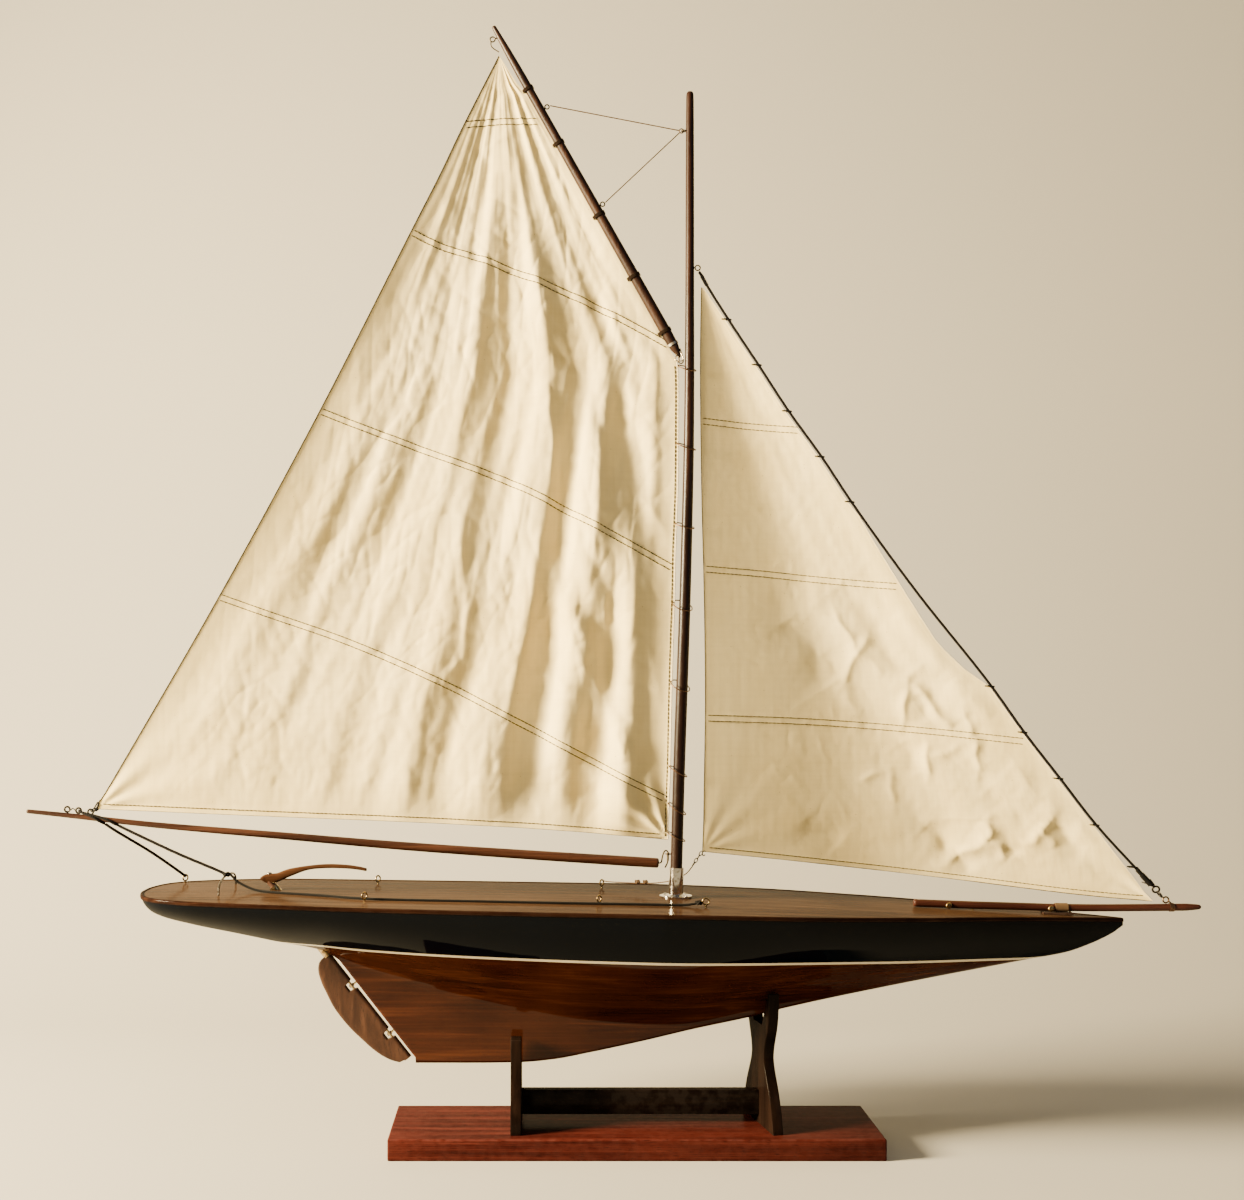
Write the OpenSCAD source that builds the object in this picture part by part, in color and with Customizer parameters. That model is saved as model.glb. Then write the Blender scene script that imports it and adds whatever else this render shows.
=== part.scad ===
// Gaff-rigged model pond yacht on a cradle stand.
// Origin: centre of the underside of the base plank. +X towards the bow, +Y to port, +Z up.
// Millimetres.

/* [Stand] */
// Length of the base plank
base_length = 450; // [380:1:520]
// Width of the base plank
base_width = 114; // [100:1:150]
// Thickness of the base plank
base_thick = 19.6; // [16:0.1:20]
// Thickness of each upright
upright_thick = 10; // [8:0.1:12]
// Thickness of the rail between the uprights
rail_thick = 10; // [6:0.1:14]
// Height of the rail
rail_height = 23; // [15:1:30]
// Angle the forward upright has turned about the vertical, degrees
upright_turn = 9.8; // [0:0.1:12]

/* [Hull] */
// Largest half-breadth of the deck
beam_half = 104; // [98:0.5:106]
// Wall thickness of the hull planking
wall = 5; // [4:0.5:7]
// Thickness of the deck plate
deck_thick = 3; // [2:0.1:3.5]
// Rise of the deck centre over its edge at the widest station
camber = 2.3; // [1.5:0.1:2.4]
// Height of the white waterline stripe
stripe_height = 2.4; // [1.5:0.1:4]

/* [Spars] */
// Radius of the mast at its foot
mast_foot_r = 5.6; // [5:0.05:5.7]
// Radius of the mast at the throat of the gaff
mast_throat_r = 4.45; // [4.2:0.05:4.6]
// Radius of the bowsprit where it leaves the deck
sprit_r = 3.45; // [3:0.05:3.5]
// Radius of the gaff at its thickest
gaff_r = 5.1; // [4.4:0.05:5.3]

/* [Rigging] */
// Diameter of the braided cord
cord_d = 2.2; // [1.4:0.1:2.4]
// Diameter of the brass and steel wire fittings
wire_d = 1.2; // [0.8:0.1:1.4]
// Thickness of the sail cloth with its hems
sail_thick = 1.2; // [0.8:0.1:1.6]
// Depth of the draught in the mainsail
main_belly = 8; // [0:1:20]
// Depth of the draught in the jib
jib_belly = 16; // [0:1:20]

/* [Rudder] */
// Radius of the rudder stock
stock_r = 3; // [2.5:0.05:3.2]
// Thickness of the rudder blade
blade_thick = 6.4; // [5:0.1:7]
// Width of the tiller
tiller_width = 6; // [4:0.1:7]

/* [Hidden] */
$fn = 48;

wire_r = wire_d / 2;
cord_r = cord_d / 2;

// ---- fair curve through a table of [station, value], with no overshoot ----
function span_at(table, x, i = 0) =
  (i >= len(table) - 2 || x < table[i + 1][0]) ? i : span_at(table, x, i + 1);
function slope(table, i) =
  (table[i + 1][1] - table[i][1]) / (table[i + 1][0] - table[i][0]);
function tangent(table, i) =
  i == 0 ? slope(table, 0) :
  i == len(table) - 1 ? slope(table, i - 1) :
  let (before = slope(table, i - 1), after = slope(table, i))
    before * after <= 0 ? 0 : 2 * before * after / (before + after);
function fair(table, x) =
  let (i = span_at(table, x), from = table[i], to = table[i + 1], span = to[0] - from[0],
    s = min(1, max(0, (x - from[0]) / span)), s2 = s * s, s3 = s2 * s)
  from[1] * (2 * s3 - 3 * s2 + 1) + span * tangent(table, i) * (s3 - 2 * s2 + s)
    + to[1] * (3 * s2 - 2 * s3) + span * tangent(table, i + 1) * (s3 - s2);

// ---- general solids ----
function unit(v) = v / norm(v);
function total(values) = values * [for (v = values) 1];

// Polyhedron whose faces agree with each other; turns them all outwards.
module closed(points, faces) {
  start = points[0];
  volume = total([for (f = faces)
    cross(points[f[0]] - start, points[f[1]] - start) * (points[f[2]] - start)]);
  polyhedron(points, volume > 0 ? [for (f = faces) [f[2], f[1], f[0]]] : faces, convexity = 6);
}

// Solid between two grids of points with the same rows and columns.
module skin(grid_a, grid_b) {
  rows = len(grid_a);
  cols = len(grid_a[0]);
  o = rows * cols;  // index of the first point of grid_b
  points = [for (grid = [grid_a, grid_b]) for (row = grid) each row];
  faces = concat(
    [for (i = [0:rows - 2]) for (k = [0:cols - 2]) let (a = i * cols + k, b = a + cols)
      each [[a, b, b + 1], [a, b + 1, a + 1], [o + a, o + b + 1, o + b],
        [o + a, o + a + 1, o + b + 1]]],
    [for (i = [0:rows - 2]) let (a = i * cols, b = a + cols, c = b - 1, d = c + cols)
      each [[b, a, o + a], [b, o + a, o + b], [c, d, o + d], [c, o + d, o + c]]],
    [for (k = [0:cols - 2]) let (e = (rows - 1) * cols + k)
      each [[k, k + 1, o + k + 1], [k, o + k + 1, o + k], [e + 1, e, o + e],
        [e + 1, o + e, o + e + 1]]]);
  closed(points, faces);
}

// Round rod along a path; radius is one number or one per point.
module rod(path, radius, sides = 8, ref = [0, 1, 0]) {
  count = len(path);
  points = [for (i = [0:count - 1])
    let (ahead = unit(path[min(count - 1, i + 1)] - path[max(0, i - 1)]),
      across = unit(cross(ahead, ref)), up = cross(ahead, across),
      r = is_list(radius) ? radius[i] : radius)
    for (k = [0:sides - 1])
      path[i] + r * (cos(360 * k / sides) * across + sin(360 * k / sides) * up)];
  last = (count - 1) * sides;
  faces = concat(
    [for (i = [0:count - 2]) for (k = [0:sides - 1])
      let (a = i * sides + k, b = i * sides + (k + 1) % sides)
      each [[a, b, b + sides], [a, b + sides, a + sides]]],
    [for (k = [1:sides - 2]) [0, k + 1, k]],
    [for (k = [1:sides - 2]) [last, last + k, last + k + 1]]);
  closed(points, faces);
}

// Catmull-Rom curve through the points, in a number of steps per span.
function spline(a, b, c, d, t) = 0.5 * (2 * b + (c - a) * t
  + (2 * a - 5 * b + 4 * c - d) * t * t + (3 * b - a - 3 * c + d) * t * t * t);
function smooth(p, steps) = let (n = len(p)) concat(
  [for (i = [0:n - 2]) for (s = [0:steps - 1])
    spline(p[max(0, i - 1)], p[i], p[i + 1], p[min(n - 1, i + 2)], s / steps)],
  [p[n - 1]]);
module bent(points, radius, steps = 3) rod(smooth(points, steps), radius);

// Places children at one point with their Z axis towards another.
module along(from, to) {
  d = to - from;
  translate(from) rotate([0, acos(d[2] / norm(d)), atan2(d[1], d[0])]) children();
}
module bar(from, to, r, fn = 32) along(from, to) cylinder(h = norm(to - from), r = r, $fn = fn);
module collar(from, to, outer_r, inner_r) {
  height = norm(to - from);
  along(from, to) difference() {
    cylinder(h = height, r = outer_r);
    translate([0, 0, -1]) cylinder(h = height + 2, r = inner_r);
  }
}
module ring(ring_r, thick_r, fn = 24)
  rotate_extrude($fn = fn) translate([ring_r, 0]) circle(thick_r, $fn = 16);
// Ring standing in the XZ plane.
module upright_ring(at, ring_r, thick_r) translate(at) rotate([90, 0, 0]) ring(ring_r, thick_r);
// Outline in the XZ plane, given thickness evenly about the centreline.
module centre_plate(thick, outline)
  rotate([90, 0, 0]) translate([0, 0, -thick / 2]) linear_extrude(thick) polygon(outline);

// ---- stand ----
upright_aft_x = -109.3;
upright_fwd_x = 121.3;
screw_y = 28;
rail_z = 28;
rail_gap = 0.1;
foot_half = 45;
waist_z = 84;
screw_at = concat([for (y = [screw_y, -screw_y]) [upright_aft_x, y]],
  [for (y = [screw_y, -screw_y])
    [upright_fwd_x - y * sin(upright_turn), y * cos(upright_turn)]]);

// Half outlines of the uprights, port side from the foot round to the cradle: [y, z]
aft_half = [[foot_half, base_thick], [44, 33], [39, 48], [34.5, 66], [32.5, 84], [32, 103.5],
  [15, 103.5], [11.6, 75.5]];
fwd_half = concat([[foot_half, base_thick]],
  [for (i = [0:10]) let (z = 24 + i * 12)
    [31.5 + 13.5 * pow(max(0, (waist_z - z) / 64), 1.2)
      - 13.5 * exp(-pow((z - waist_z) / 26, 2)) + 2 * max(0, z - waist_z) / 62, z]],
  [[33.5, 146], [31.2, 146], [24.2, 134.6], [16.7, 122.4], [12.2, 113.2]]);

module base_plank() color("sienna") difference() {
  translate([-base_length / 2, -base_width / 2, 0]) cube([base_length, base_width, base_thick]);
  for (p = screw_at) translate([p[0], p[1], -1]) {
    cylinder(h = base_thick + 2, r = 2.1);
    cylinder(h = 4.6, r = 4.4);
  }
}
module upright(half)
  translate([-upright_thick / 2, 0, 0]) rotate([90, 0, 90]) linear_extrude(upright_thick)
    polygon(concat(half, [for (i = [len(half) - 1:-1:0]) [-half[i][0], half[i][1]]]));
module stand_upright_aft() color("#2a1a14") translate([upright_aft_x, 0, 0]) upright(aft_half);
module stand_upright_fwd() color("#2a1a14")
  translate([upright_fwd_x, 0, 0]) rotate([0, 0, upright_turn]) upright(fwd_half);
// The rail's forward end is cut to the turned upright.
module stand_rail() color("#22150f") {
  aft = upright_aft_x + upright_thick / 2 + rail_gap;
  fwd = upright_fwd_x - upright_thick / 2 / cos(upright_turn) - rail_gap;
  side = rail_thick / 2;
  skew = side * tan(upright_turn);
  translate([0, 0, rail_z]) linear_extrude(rail_height)
    polygon([[aft, -side], [fwd + skew, -side], [fwd - skew, side], [aft, side]]);
}
module stand_screws() color("silver") for (p = screw_at) translate([p[0], p[1], 0.6]) {
  difference() {
    cylinder(h = 3, r = 4.2);
    translate([-5, -0.5, -1]) cube([10, 1, 1.8]);
  }
  translate([0, 0, 2.9]) cylinder(h = 29, r = 2);
}

// ---- hull lines; tables are [x, value] ----
x_aft = -457;
x_bow = 458;
sheer_tab = [[-457, 236.6], [-350, 235.6], [-244, 233.3], [-100, 230.6], [40, 228],
  [215, 222], [319, 217.6], [431, 212], [458, 210.2]];
// Deck half-breadth as a fraction of the largest: squared aft of plan_joint, plain forward.
plan_joint = 20;
plan_aft_squared = [[-457, 0.01], [-445, 0.232], [-425, 0.42], [-390, 0.6], [-330, 0.77],
  [-244, 0.885], [-120, 0.968], [20, 1]];
plan_fwd = [[20, 1], [130, 0.925], [215, 0.755], [262, 0.635], [319, 0.445], [380, 0.255],
  [431, 0.1], [458, 0.012]];
// Height of the underside: aft of the keel's sloping end, along the keel, and at the bow.
slope_top = [-275, 171];
slope_foot = [-203.5, 79.8];
keel_aft = [[-457, 231], [-453, 225.1], [-442, 215.5], [-431, 210.1], [-407, 205.4],
  [-365, 196.2], [-332, 188.6], [-289.5, 179.9], slope_top];
bow_profile = [[109, 118.2], [140, 126.1], [250, 149.1], [370, 172], [405, 178.5],
  [427, 186.1], [448.5, 196.5], [458, 203.5]];
keel_fwd = concat([[-203.5, 74.9], [-143, 75.1], [-104, 75.9], [-73, 78.9], [-43, 84.7],
  [7, 95.5], [57, 107.2]], bow_profile);
// Underside of the rounded body, leaving out the keel
body_tab = concat([[-457, 231], [-442, 215.5], [-407, 205.4], [-365, 196.2], [-332, 188.6],
  [-289.5, 179], [-240, 160], [-200, 146], [-150, 131], [-100, 118.5], [-43, 108], [32, 104]],
  bow_profile);
// Exponent of the section's curve
section_tab = [[-457, 0.6], [-332, 0.8], [-275, 1.15], [-200, 1.5], [-100, 1.6], [32, 1.55],
  [121, 1.6], [250, 1.05], [370, 0.72], [458, 0.6]];
// Half thickness of the keel
keel_half_tab = [[-457, 1.6], [-332, 3], [-275, 5], [-203, 7.5], [0, 10.5], [109, 8.5],
  [250, 4.6], [370, 3], [458, 1.5]];
camber_half = 106;  // half-breadth at which the deck has its full camber

function sheer_z(x) = fair(sheer_tab, x);
function waterline_z(x) = 183 - 0.0245 * x;
function stripe_low(x) = waterline_z(x) - stripe_height / 2;
function stripe_high(x) = waterline_z(x) + stripe_height / 2;
function keel_z(x) =
  x < slope_top[0] ? fair(keel_aft, x) :
  x < slope_foot[0] ? slope_top[1] - (x - slope_top[0])
    * (slope_top[1] - slope_foot[1]) / (slope_foot[0] - slope_top[0]) :
  fair(keel_fwd, x);
function plan_half(x) =
  beam_half * (x < plan_joint ? sqrt(fair(plan_aft_squared, x)) : fair(plan_fwd, x));
function blend(a, b) = pow(pow(a, 1.6) + pow(b, 1.6), 0.625);
// Half-breadth of the outer surface at station x, height z
function half_breadth(x, z) =
  let (depth = min(1, max(0, (sheer_z(x) - z) / (sheer_z(x) - fair(body_tab, x)))))
  blend(plan_half(x) * pow(max(0, 1 - depth * depth), fair(section_tab, x)),
    fair(keel_half_tab, x));
function sheer_half(x) = half_breadth(x, sheer_z(x));
function deck_z(x, y) = let (edge = sheer_half(x))
  sheer_z(x) + camber * pow(edge / camber_half, 2) * (1 - pow(min(1, abs(y) / edge), 2));
function on_deck(x, y, lift = 0) = [x, y, deck_z(x, y) + lift];

// ---- rudder axis: leans aft going up ----
stock_top = [-336.4, 0, 239.6];
stock_up = unit([-0.6195, 0, 0.785]);
function stock_at(down) = stock_top - stock_up * down;
tube_r = 4.2;
module tube_bore() bar(stock_at(-50), stock_at(130), tube_r + 0.05);

// ---- hull ----
planked_aft = -272;
planked_fwd = 368;
block_gap = 0.1;
plank_steps = 30;
plank_xs = [for (i = [0:plank_steps])
  planked_aft + (planked_fwd - planked_aft) * i / plank_steps];
bottom_rows = 9;
top_gap = deck_thick + 0.15;  // top of the topsides below the sheer

function bottom_z(x, low, k) = stripe_low(x) - (stripe_low(x) - low) * sin(90 * k / bottom_rows);
function bottom_outer(x) = [for (k = [0:bottom_rows]) let (z = bottom_z(x, keel_z(x), k))
  [x, half_breadth(x, z), z]];
// Height of the inside of the bottom, rising at both ends
function floor_z(x) = min(stripe_low(x) - 0.6, max(keel_z(x), fair(body_tab, x)) + 9
  + 90 * pow(max(0, (-225 - x) / 50), 2) + 40 * pow(max(0, (x - 330) / 40), 2));
function bottom_inner(x) = [for (k = [0:bottom_rows]) let (z = bottom_z(x, floor_z(x), k))
  [x, max(1.2 - 0.1 * k, half_breadth(x, z) - wall * (1 - 0.35 * k / bottom_rows))
    * (k == bottom_rows ? 0.8 : 1), z]];
// A port row carried on up the starboard side
function both_sides(row) = concat(row,
  [for (i = [len(row) - 1:-1:0]) [row[i][0], -row[i][1], row[i][2]]]);
module hull_bottom() color("#7a3b18") skin(
  [for (x = plank_xs) both_sides(bottom_outer(x))],
  [for (x = plank_xs) both_sides(bottom_inner(x))]);

// Row up one side, moved out from the hull surface by shift
function side_row(x, side, low, high, steps, shift) =
  [for (k = [0:steps]) let (z = low + (high - low) * k / steps)
    [x, side * max(1, half_breadth(x, z) + shift), z]];
function stripe_face(side, shift) = [for (x = plank_xs)
  side_row(x, side, stripe_low(x) + 0.04, stripe_high(x) - 0.04, 1, shift)];
function topside_face(side, shift) = [for (x = plank_xs)
  side_row(x, side, stripe_high(x), sheer_z(x) - top_gap, 3, shift)];
module boot_stripe() color("ivory")
  for (side = [1, -1]) skin(stripe_face(side, 0.1), stripe_face(side, -3.5));
module hull_topsides() color("#101c18")
  for (side = [1, -1]) skin(topside_face(side, 0), topside_face(side, -wall));

// Solid end of the hull; first_low can raise the underside at its first station.
function block_row(x, side, low, steps) = [for (k = [0:steps])
  let (top = sheer_z(x) - top_gap, z = top - (top - low) * sin(90 * k / steps))
  [x, side * half_breadth(x, z), z]];
module end_block(xs, steps, first_low = 0) {
  faces = [for (side = [1, -1]) [for (i = [0:len(xs) - 1])
    block_row(xs[i], side, max(keel_z(xs[i]), i == 0 ? first_low : 0), steps)]];
  skin(faces[0], faces[1]);
}
module bow_block() color("#101c18") {
  start = planked_fwd + block_gap;
  end_block([for (i = [0:10]) start + (x_bow - start) * i / 10], 7, waterline_z(start) - 1);
}
module stern_block() color("#101c18") difference() {
  end_block([for (i = [0:14])
    x_aft + (planked_aft - block_gap - x_aft) * (1 - cos(90 * i / 14))], 8);
  tube_bore();
}

// Stations crowded towards both ends
function end_crowded(middle, reach, steps) =
  [for (i = [0:steps]) middle - reach * cos(180 * i / steps)];
hull_middle = (x_aft + x_bow) / 2;
deck_xs = end_crowded(hull_middle - 4, 446, 36);
edge_xs = end_crowded(hull_middle - 0.8, 448.6, 44);
function deck_face(lift) = [for (x = deck_xs)
  [for (k = [-4:4]) on_deck(x, (sheer_half(x) - 2.75) * k / 4, lift)]];
module deck() color("#8a4a22") difference() {
  skin(deck_face(0.02), deck_face(-deck_thick));
  tube_bore();
}
function cover_face(side, inner_lift, outer_lift) = [for (x = edge_xs)
  [[x, side * (sheer_half(x) - 2.4), sheer_z(x) + inner_lift],
    [x, side * (sheer_half(x) + 0.7), sheer_z(x) + outer_lift]]];
module covering_boards() color("#5c2414") for (side = [1, -1])
  skin(cover_face(side, 0.25, 0.1), cover_face(side, -deck_thick, -deck_thick));

beam_size = 8;
module deck_beams() color("burlywood") for (x = [-190, -110, -20, 110, 200, 280]) {
  half = half_breadth(x, sheer_z(x) - 12) - wall - 3;
  translate([x - beam_size / 2, -half, sheer_z(x) - deck_thick - 0.3 - beam_size])
    cube([beam_size, 2 * half, beam_size]);
}
module mast_block() color("tan")
  translate([22, -20, sheer_z(58) - deck_thick - 12.2]) cube([36, 40, 12]);
bolt_xs = [-30, 36];
module ballast_bar() color("dimgray") difference() {
  translate([-48, -6.5, 119.5]) cube([104, 13, 14]);
  for (x = bolt_xs) translate([x, 0, 110]) cylinder(h = 40, r = 2.1);
}
module ballast_bolts() color("goldenrod") for (x = bolt_xs) translate([x, 0, 105]) {
  cylinder(h = 33, r = 2);
  translate([0, 0, 28.7]) cylinder(h = 3.4, r = 4.2, $fn = 6);
}

// ---- rudder ----
gudgeon_downs = [117.4, 174.6];
pintle_r = 1.2;
module rudder_tube() color("goldenrod")
  collar(stock_at(82), stock_at(-0.6), tube_r, stock_r + 0.05);
module rudder_gudgeons() color("goldenrod") for (down = gudgeon_downs) {
  collar(stock_at(down + 1.5), stock_at(down - 1.5), 2.3, pintle_r + 0.05);
  forward = [stock_up[2], 0, -stock_up[0]];
  bar(stock_at(down) + 2.1 * forward, stock_at(down) + 12 * forward, 0.9);
}
module rudder_stock() color("#3a2418") bar(stock_at(90), stock_at(-9), stock_r);
module rudder_pintles() color("goldenrod")
  for (down = gudgeon_downs) bar(stock_at(down + 9), stock_at(down - 9), pintle_r);
function xz(p) = [p[0], p[2]];
// Blade outline: down the stock, then round the heel and up the trailing edge: [x, z]
blade_outline = [xz(stock_at(85)) + [-2, 0], xz(stock_at(88)), xz(stock_at(201)),
  [-213.4, 80.5], [-215.7, 75.4], [-225, 77], [-234.4, 81.3], [-244, 88], [-253, 96.1],
  [-263.5, 106], [-273.2, 117.1], [-281, 128], [-287.2, 140.3], [-291.6, 149.5],
  [-294.2, 157.4], [-295, 163], [-294.2, 168.5], [-292, 172]];
module rudder_blade() color("#4a2a1c") difference() {
  union() {
    centre_plate(blade_thick, blade_outline);
    bar(stock_at(90.4), stock_at(203), blade_thick / 2);
  }
  for (down = gudgeon_downs)
    along(stock_at(down + 3.6), stock_at(down - 3.6)) cylinder(h = 7.2, r = 7);
  bar(stock_at(91), stock_at(60), stock_r + 1.2);
}
// Tiller outline: forward along the top, back along the underside: [x, z]
tiller_outline = [[-349.5, 248], [-345, 251.2], [-338, 252.3], [-333, 252.8], [-322.3, 256.7],
  [-304.2, 259.7], [-286.2, 260.9], [-268.3, 259.7], [-256.3, 257.4], [-249.3, 254.9],
  [-249.8, 253.2], [-257, 254.9], [-268, 256.8], [-286, 257.6], [-303, 256], [-316, 251.9],
  [-326, 246.8], [-333, 244.6], [-341.5, 242.2]];
module tiller() color("#a8622e") centre_plate(tiller_width, tiller_outline);
module tiller_screw() color("silver") translate([-340.6, 0, 252.2]) {
  translate([0, 0, -4]) cylinder(h = 4.2, r = 0.9);
  scale([1, 1, 0.55]) sphere(2.4);
}

// ---- mast ----
mast_foot = [39.8, 0, deck_z(40, 0)];
// Centreline: [z, x]
mast_tab = [[232.5, 39.6], [275.2, 40.9], [339.8, 42.7], [508, 48.5], [564.5, 50.1],
  [660, 52.2], [738.7, 52.9], [984.6, 53.2]];
// Taper: [z, radius]
mast_taper = [[232.5, mast_foot_r], [340, mast_foot_r], [508, mast_foot_r * 0.95],
  [621, mast_foot_r * 0.89], [738.7, mast_throat_r], [800, 4.15], [930, 3.85], [976, 3.6],
  [982, 3.35], [984.6, 2.6]];
mast_zs = [mast_foot[2] + 2.4, 262, 300, 340, 400, 460, 520, 564, 610, 660, 700, 738, 800,
  860, 920, 960, 976, 982, 984.6];
function mast_x(z) = fair(mast_tab, z);
function mast_r(z) = fair(mast_taper, z);
module mast() color("#4a2114")
  rod([for (z = mast_zs) [mast_x(z), 0, z]], [for (z = mast_zs) mast_r(z)], 20);

socket_lean = 1.6;
socket_bore_r = 5.9;
module mast_socket() color("silver") {
  translate(mast_foot + [0, 0, 0.1]) difference() {
    union() {
      cylinder(h = 1.5, r = 15.2);
      translate([0, 0, 1.4]) cylinder(h = 1.6, r1 = 11, r2 = 7.6);
    }
    translate([0, 0, 2]) rotate([0, socket_lean, 0]) cylinder(h = 30, r = socket_bore_r);
  }
  translate(mast_foot + [0, 0, 1.7]) rotate([0, socket_lean, 0]) difference() {
    cylinder(h = 25.9, r = socket_bore_r + 1);
    translate([0, 0, 0.6]) cylinder(h = 40, r = socket_bore_r);
  }
}
module socket_screws() color("gainsboro") for (angle = [45:90:315])
  translate(mast_foot + [12.6 * cos(angle), 12.6 * sin(angle), -7]) {
    cylinder(h = 8.8, r = 0.9);
    translate([0, 0, 8.7]) scale([1, 1, 0.5]) sphere(1.9);
  }

// Two eyes on the aft side of the mast; the mainsail's luff follows the line between them.
low_eye = [32.6, 0, 270.5];
high_eye = [47.4, 0, 947.6];
stay_eye = [60.4, 0, 819.4];
function luff_line(z) = [low_eye[0]
  + (high_eye[0] - low_eye[0]) * (z - low_eye[2]) / (high_eye[2] - low_eye[2]), 0, z];
module mast_eyes() color("#8c7a55") {
  along(low_eye, high_eye) ring(2.3, 0.65);
  bar(low_eye + [2.6, 0, 0.05], low_eye + [10, 0, 0.2], 0.8);
  translate(high_eye) ring(2.2, wire_r);
  bar(high_eye + [2.4, 0, 0], [mast_x(high_eye[2]), 0, high_eye[2]], 0.7);
  upright_ring(stay_eye, 2.4, wire_r);
  bar([58, 0, stay_eye[2]], [53, 0, stay_eye[2]], 0.7);
}
// [height at the luff, pitch down towards the bow, roll about the fore-and-aft line]
hoops = [[291, 27, 6], [318.4, 33, 10], [353.1, 31, 8], [431.8, 23, 26], [506.3, 19, 28],
  [580.6, 15, 15], [655.6, 20, 15], [728, 16, 20]];
module mast_hoops() color("#9a8450") for (hoop = hoops) {
  z = hoop[0];
  aft = luff_line(z)[0] - 0.9;
  fwd = mast_x(z) + mast_r(z) + 1.5;
  hoop_r = (fwd - aft) / 2 / cos(hoop[1]);
  translate([aft, 0, z]) rotate([0, hoop[1], 0]) rotate([hoop[2], 0, 0])
    translate([hoop_r, 0, 0]) ring(hoop_r, wire_r * 0.92, 32);
}

// ---- bowsprit: [x, z] and [x, radius] ----
sprit_tab = [[262.6, 224.8], [316, 222.8], [357, 221.6], [397, 220.5], [437, 220.1],
  [477, 220.3], [531.6, 220.9]];
sprit_taper = [[262.6, sprit_r + 0.15], [330, sprit_r + 0.15], [397, sprit_r],
  [517, sprit_r - 0.05], [525, sprit_r - 0.6], [530, sprit_r - 1.2], [531.6, 1.5]];
sprit_xs = [262.6, 280, 298, 316, 337, 357, 377, 397, 417, 437, 457, 477, 500, 517, 521, 525,
  528, 530, 531.6];
function sprit_at(x) = [x, 0, fair(sprit_tab, x)];
function sprit_r_at(x) = lookup(x, sprit_taper);
module bowsprit() color("#5a2c1a")
  rod([for (x = sprit_xs) sprit_at(x)], [for (x = sprit_xs) sprit_r_at(x)], 24);
module bowsprit_strap() color("#b09a78")
  collar(sprit_at(394.6), sprit_at(406.4), sprit_r + 0.75, sprit_r + 0.06);
module bowsprit_chock() color("#6a3a20") {
  top_drop = sprit_r + 0.95;
  centre_plate(9, [[383, deck_z(383, 0) + 0.2], [411, deck_z(411, 0) + 0.6],
    [411, sprit_at(411)[2] - top_drop], [383, sprit_at(383)[2] - top_drop]]);
}
// Two screws across the bowsprit, headed to starboard, and two down into the hull
module bowsprit_screws() color("gainsboro") {
  for (x = [294.8, 390.4]) translate(sprit_at(x) + [0, 0, -1]) rotate([90, 0, 0]) {
    translate([0, 0, -2]) cylinder(h = sprit_r_at(x) + 2.2, r = 1.1);
    translate([0, 0, sprit_r_at(x) + 0.15]) scale([1, 1, 0.5]) sphere(3);
  }
  for (x = [318, 409]) translate(sprit_at(x)) translate([0, 0, -9.4]) cylinder(h = 8.4, r = 1.1);
}
module bowsprit_ring() color("silver") {
  collar(sprit_at(502), sprit_at(506), sprit_r + 0.6, sprit_r - 0.15);
  upright_ring(sprit_at(500) + [-1.2, 0, sprit_r + 3.6], 2.7, 0.75);
  bar(sprit_at(504) + [0, 0, sprit_r + 0.2], sprit_at(501.6) + [0, 0, sprit_r + 2.2], 0.75);
}

// ---- forestay ----
stay_head = [59.7, 0, 818.3];
stay_foot = [498.5, 0, 225.3];
stay_length = norm(stay_foot - stay_head);
function stay_at(down) = stay_head + unit(stay_foot - stay_head) * down;
// The slack stay hangs aft of the straight line between its ends: [z, x]
stay_tab = [[240.6, 485.6], [245.2, 481.6], [297.6, 433.8], [341.1, 400], [384.4, 366.4],
  [427.5, 335.6], [517.8, 264], [600.1, 204.5], [642.4, 176.5], [685, 145.8], [728.3, 117.5],
  [770.9, 89.3], [808.5, 65.9], [813.3, 63.4]];
stay_zs = [812, 806, 795, 784, 771, 756, 742, 728, 707, 685, 664, 642, 621, 600, 580, 559,
  538, 518, 495, 472, 450, 428, 406, 384, 362, 341, 319, 298, 280, 262, 250, 242.6];
function hang(z) = [fair(stay_tab, z), 0, z];
module forestay() color("#15120f") {
  rod([for (z = stay_zs) hang(z)], cord_r, 10);
  bar(stay_at(4.6), stay_at(9.5), 1.5);
  bar(stay_at(stay_length - 24.4), stay_at(stay_length - 19.6), 1.7);
}
// Two rings: [distance from the stay's foot, turn about the stay]
module forestay_link() color("#55504a") for (link = [[15.4, 20], [9.4, 90]])
  along(stay_at(stay_length - link[0]), stay_at(stay_length - link[0] + 1))
    rotate([90, link[1], 0]) ring(2.8, 0.65);

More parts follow.
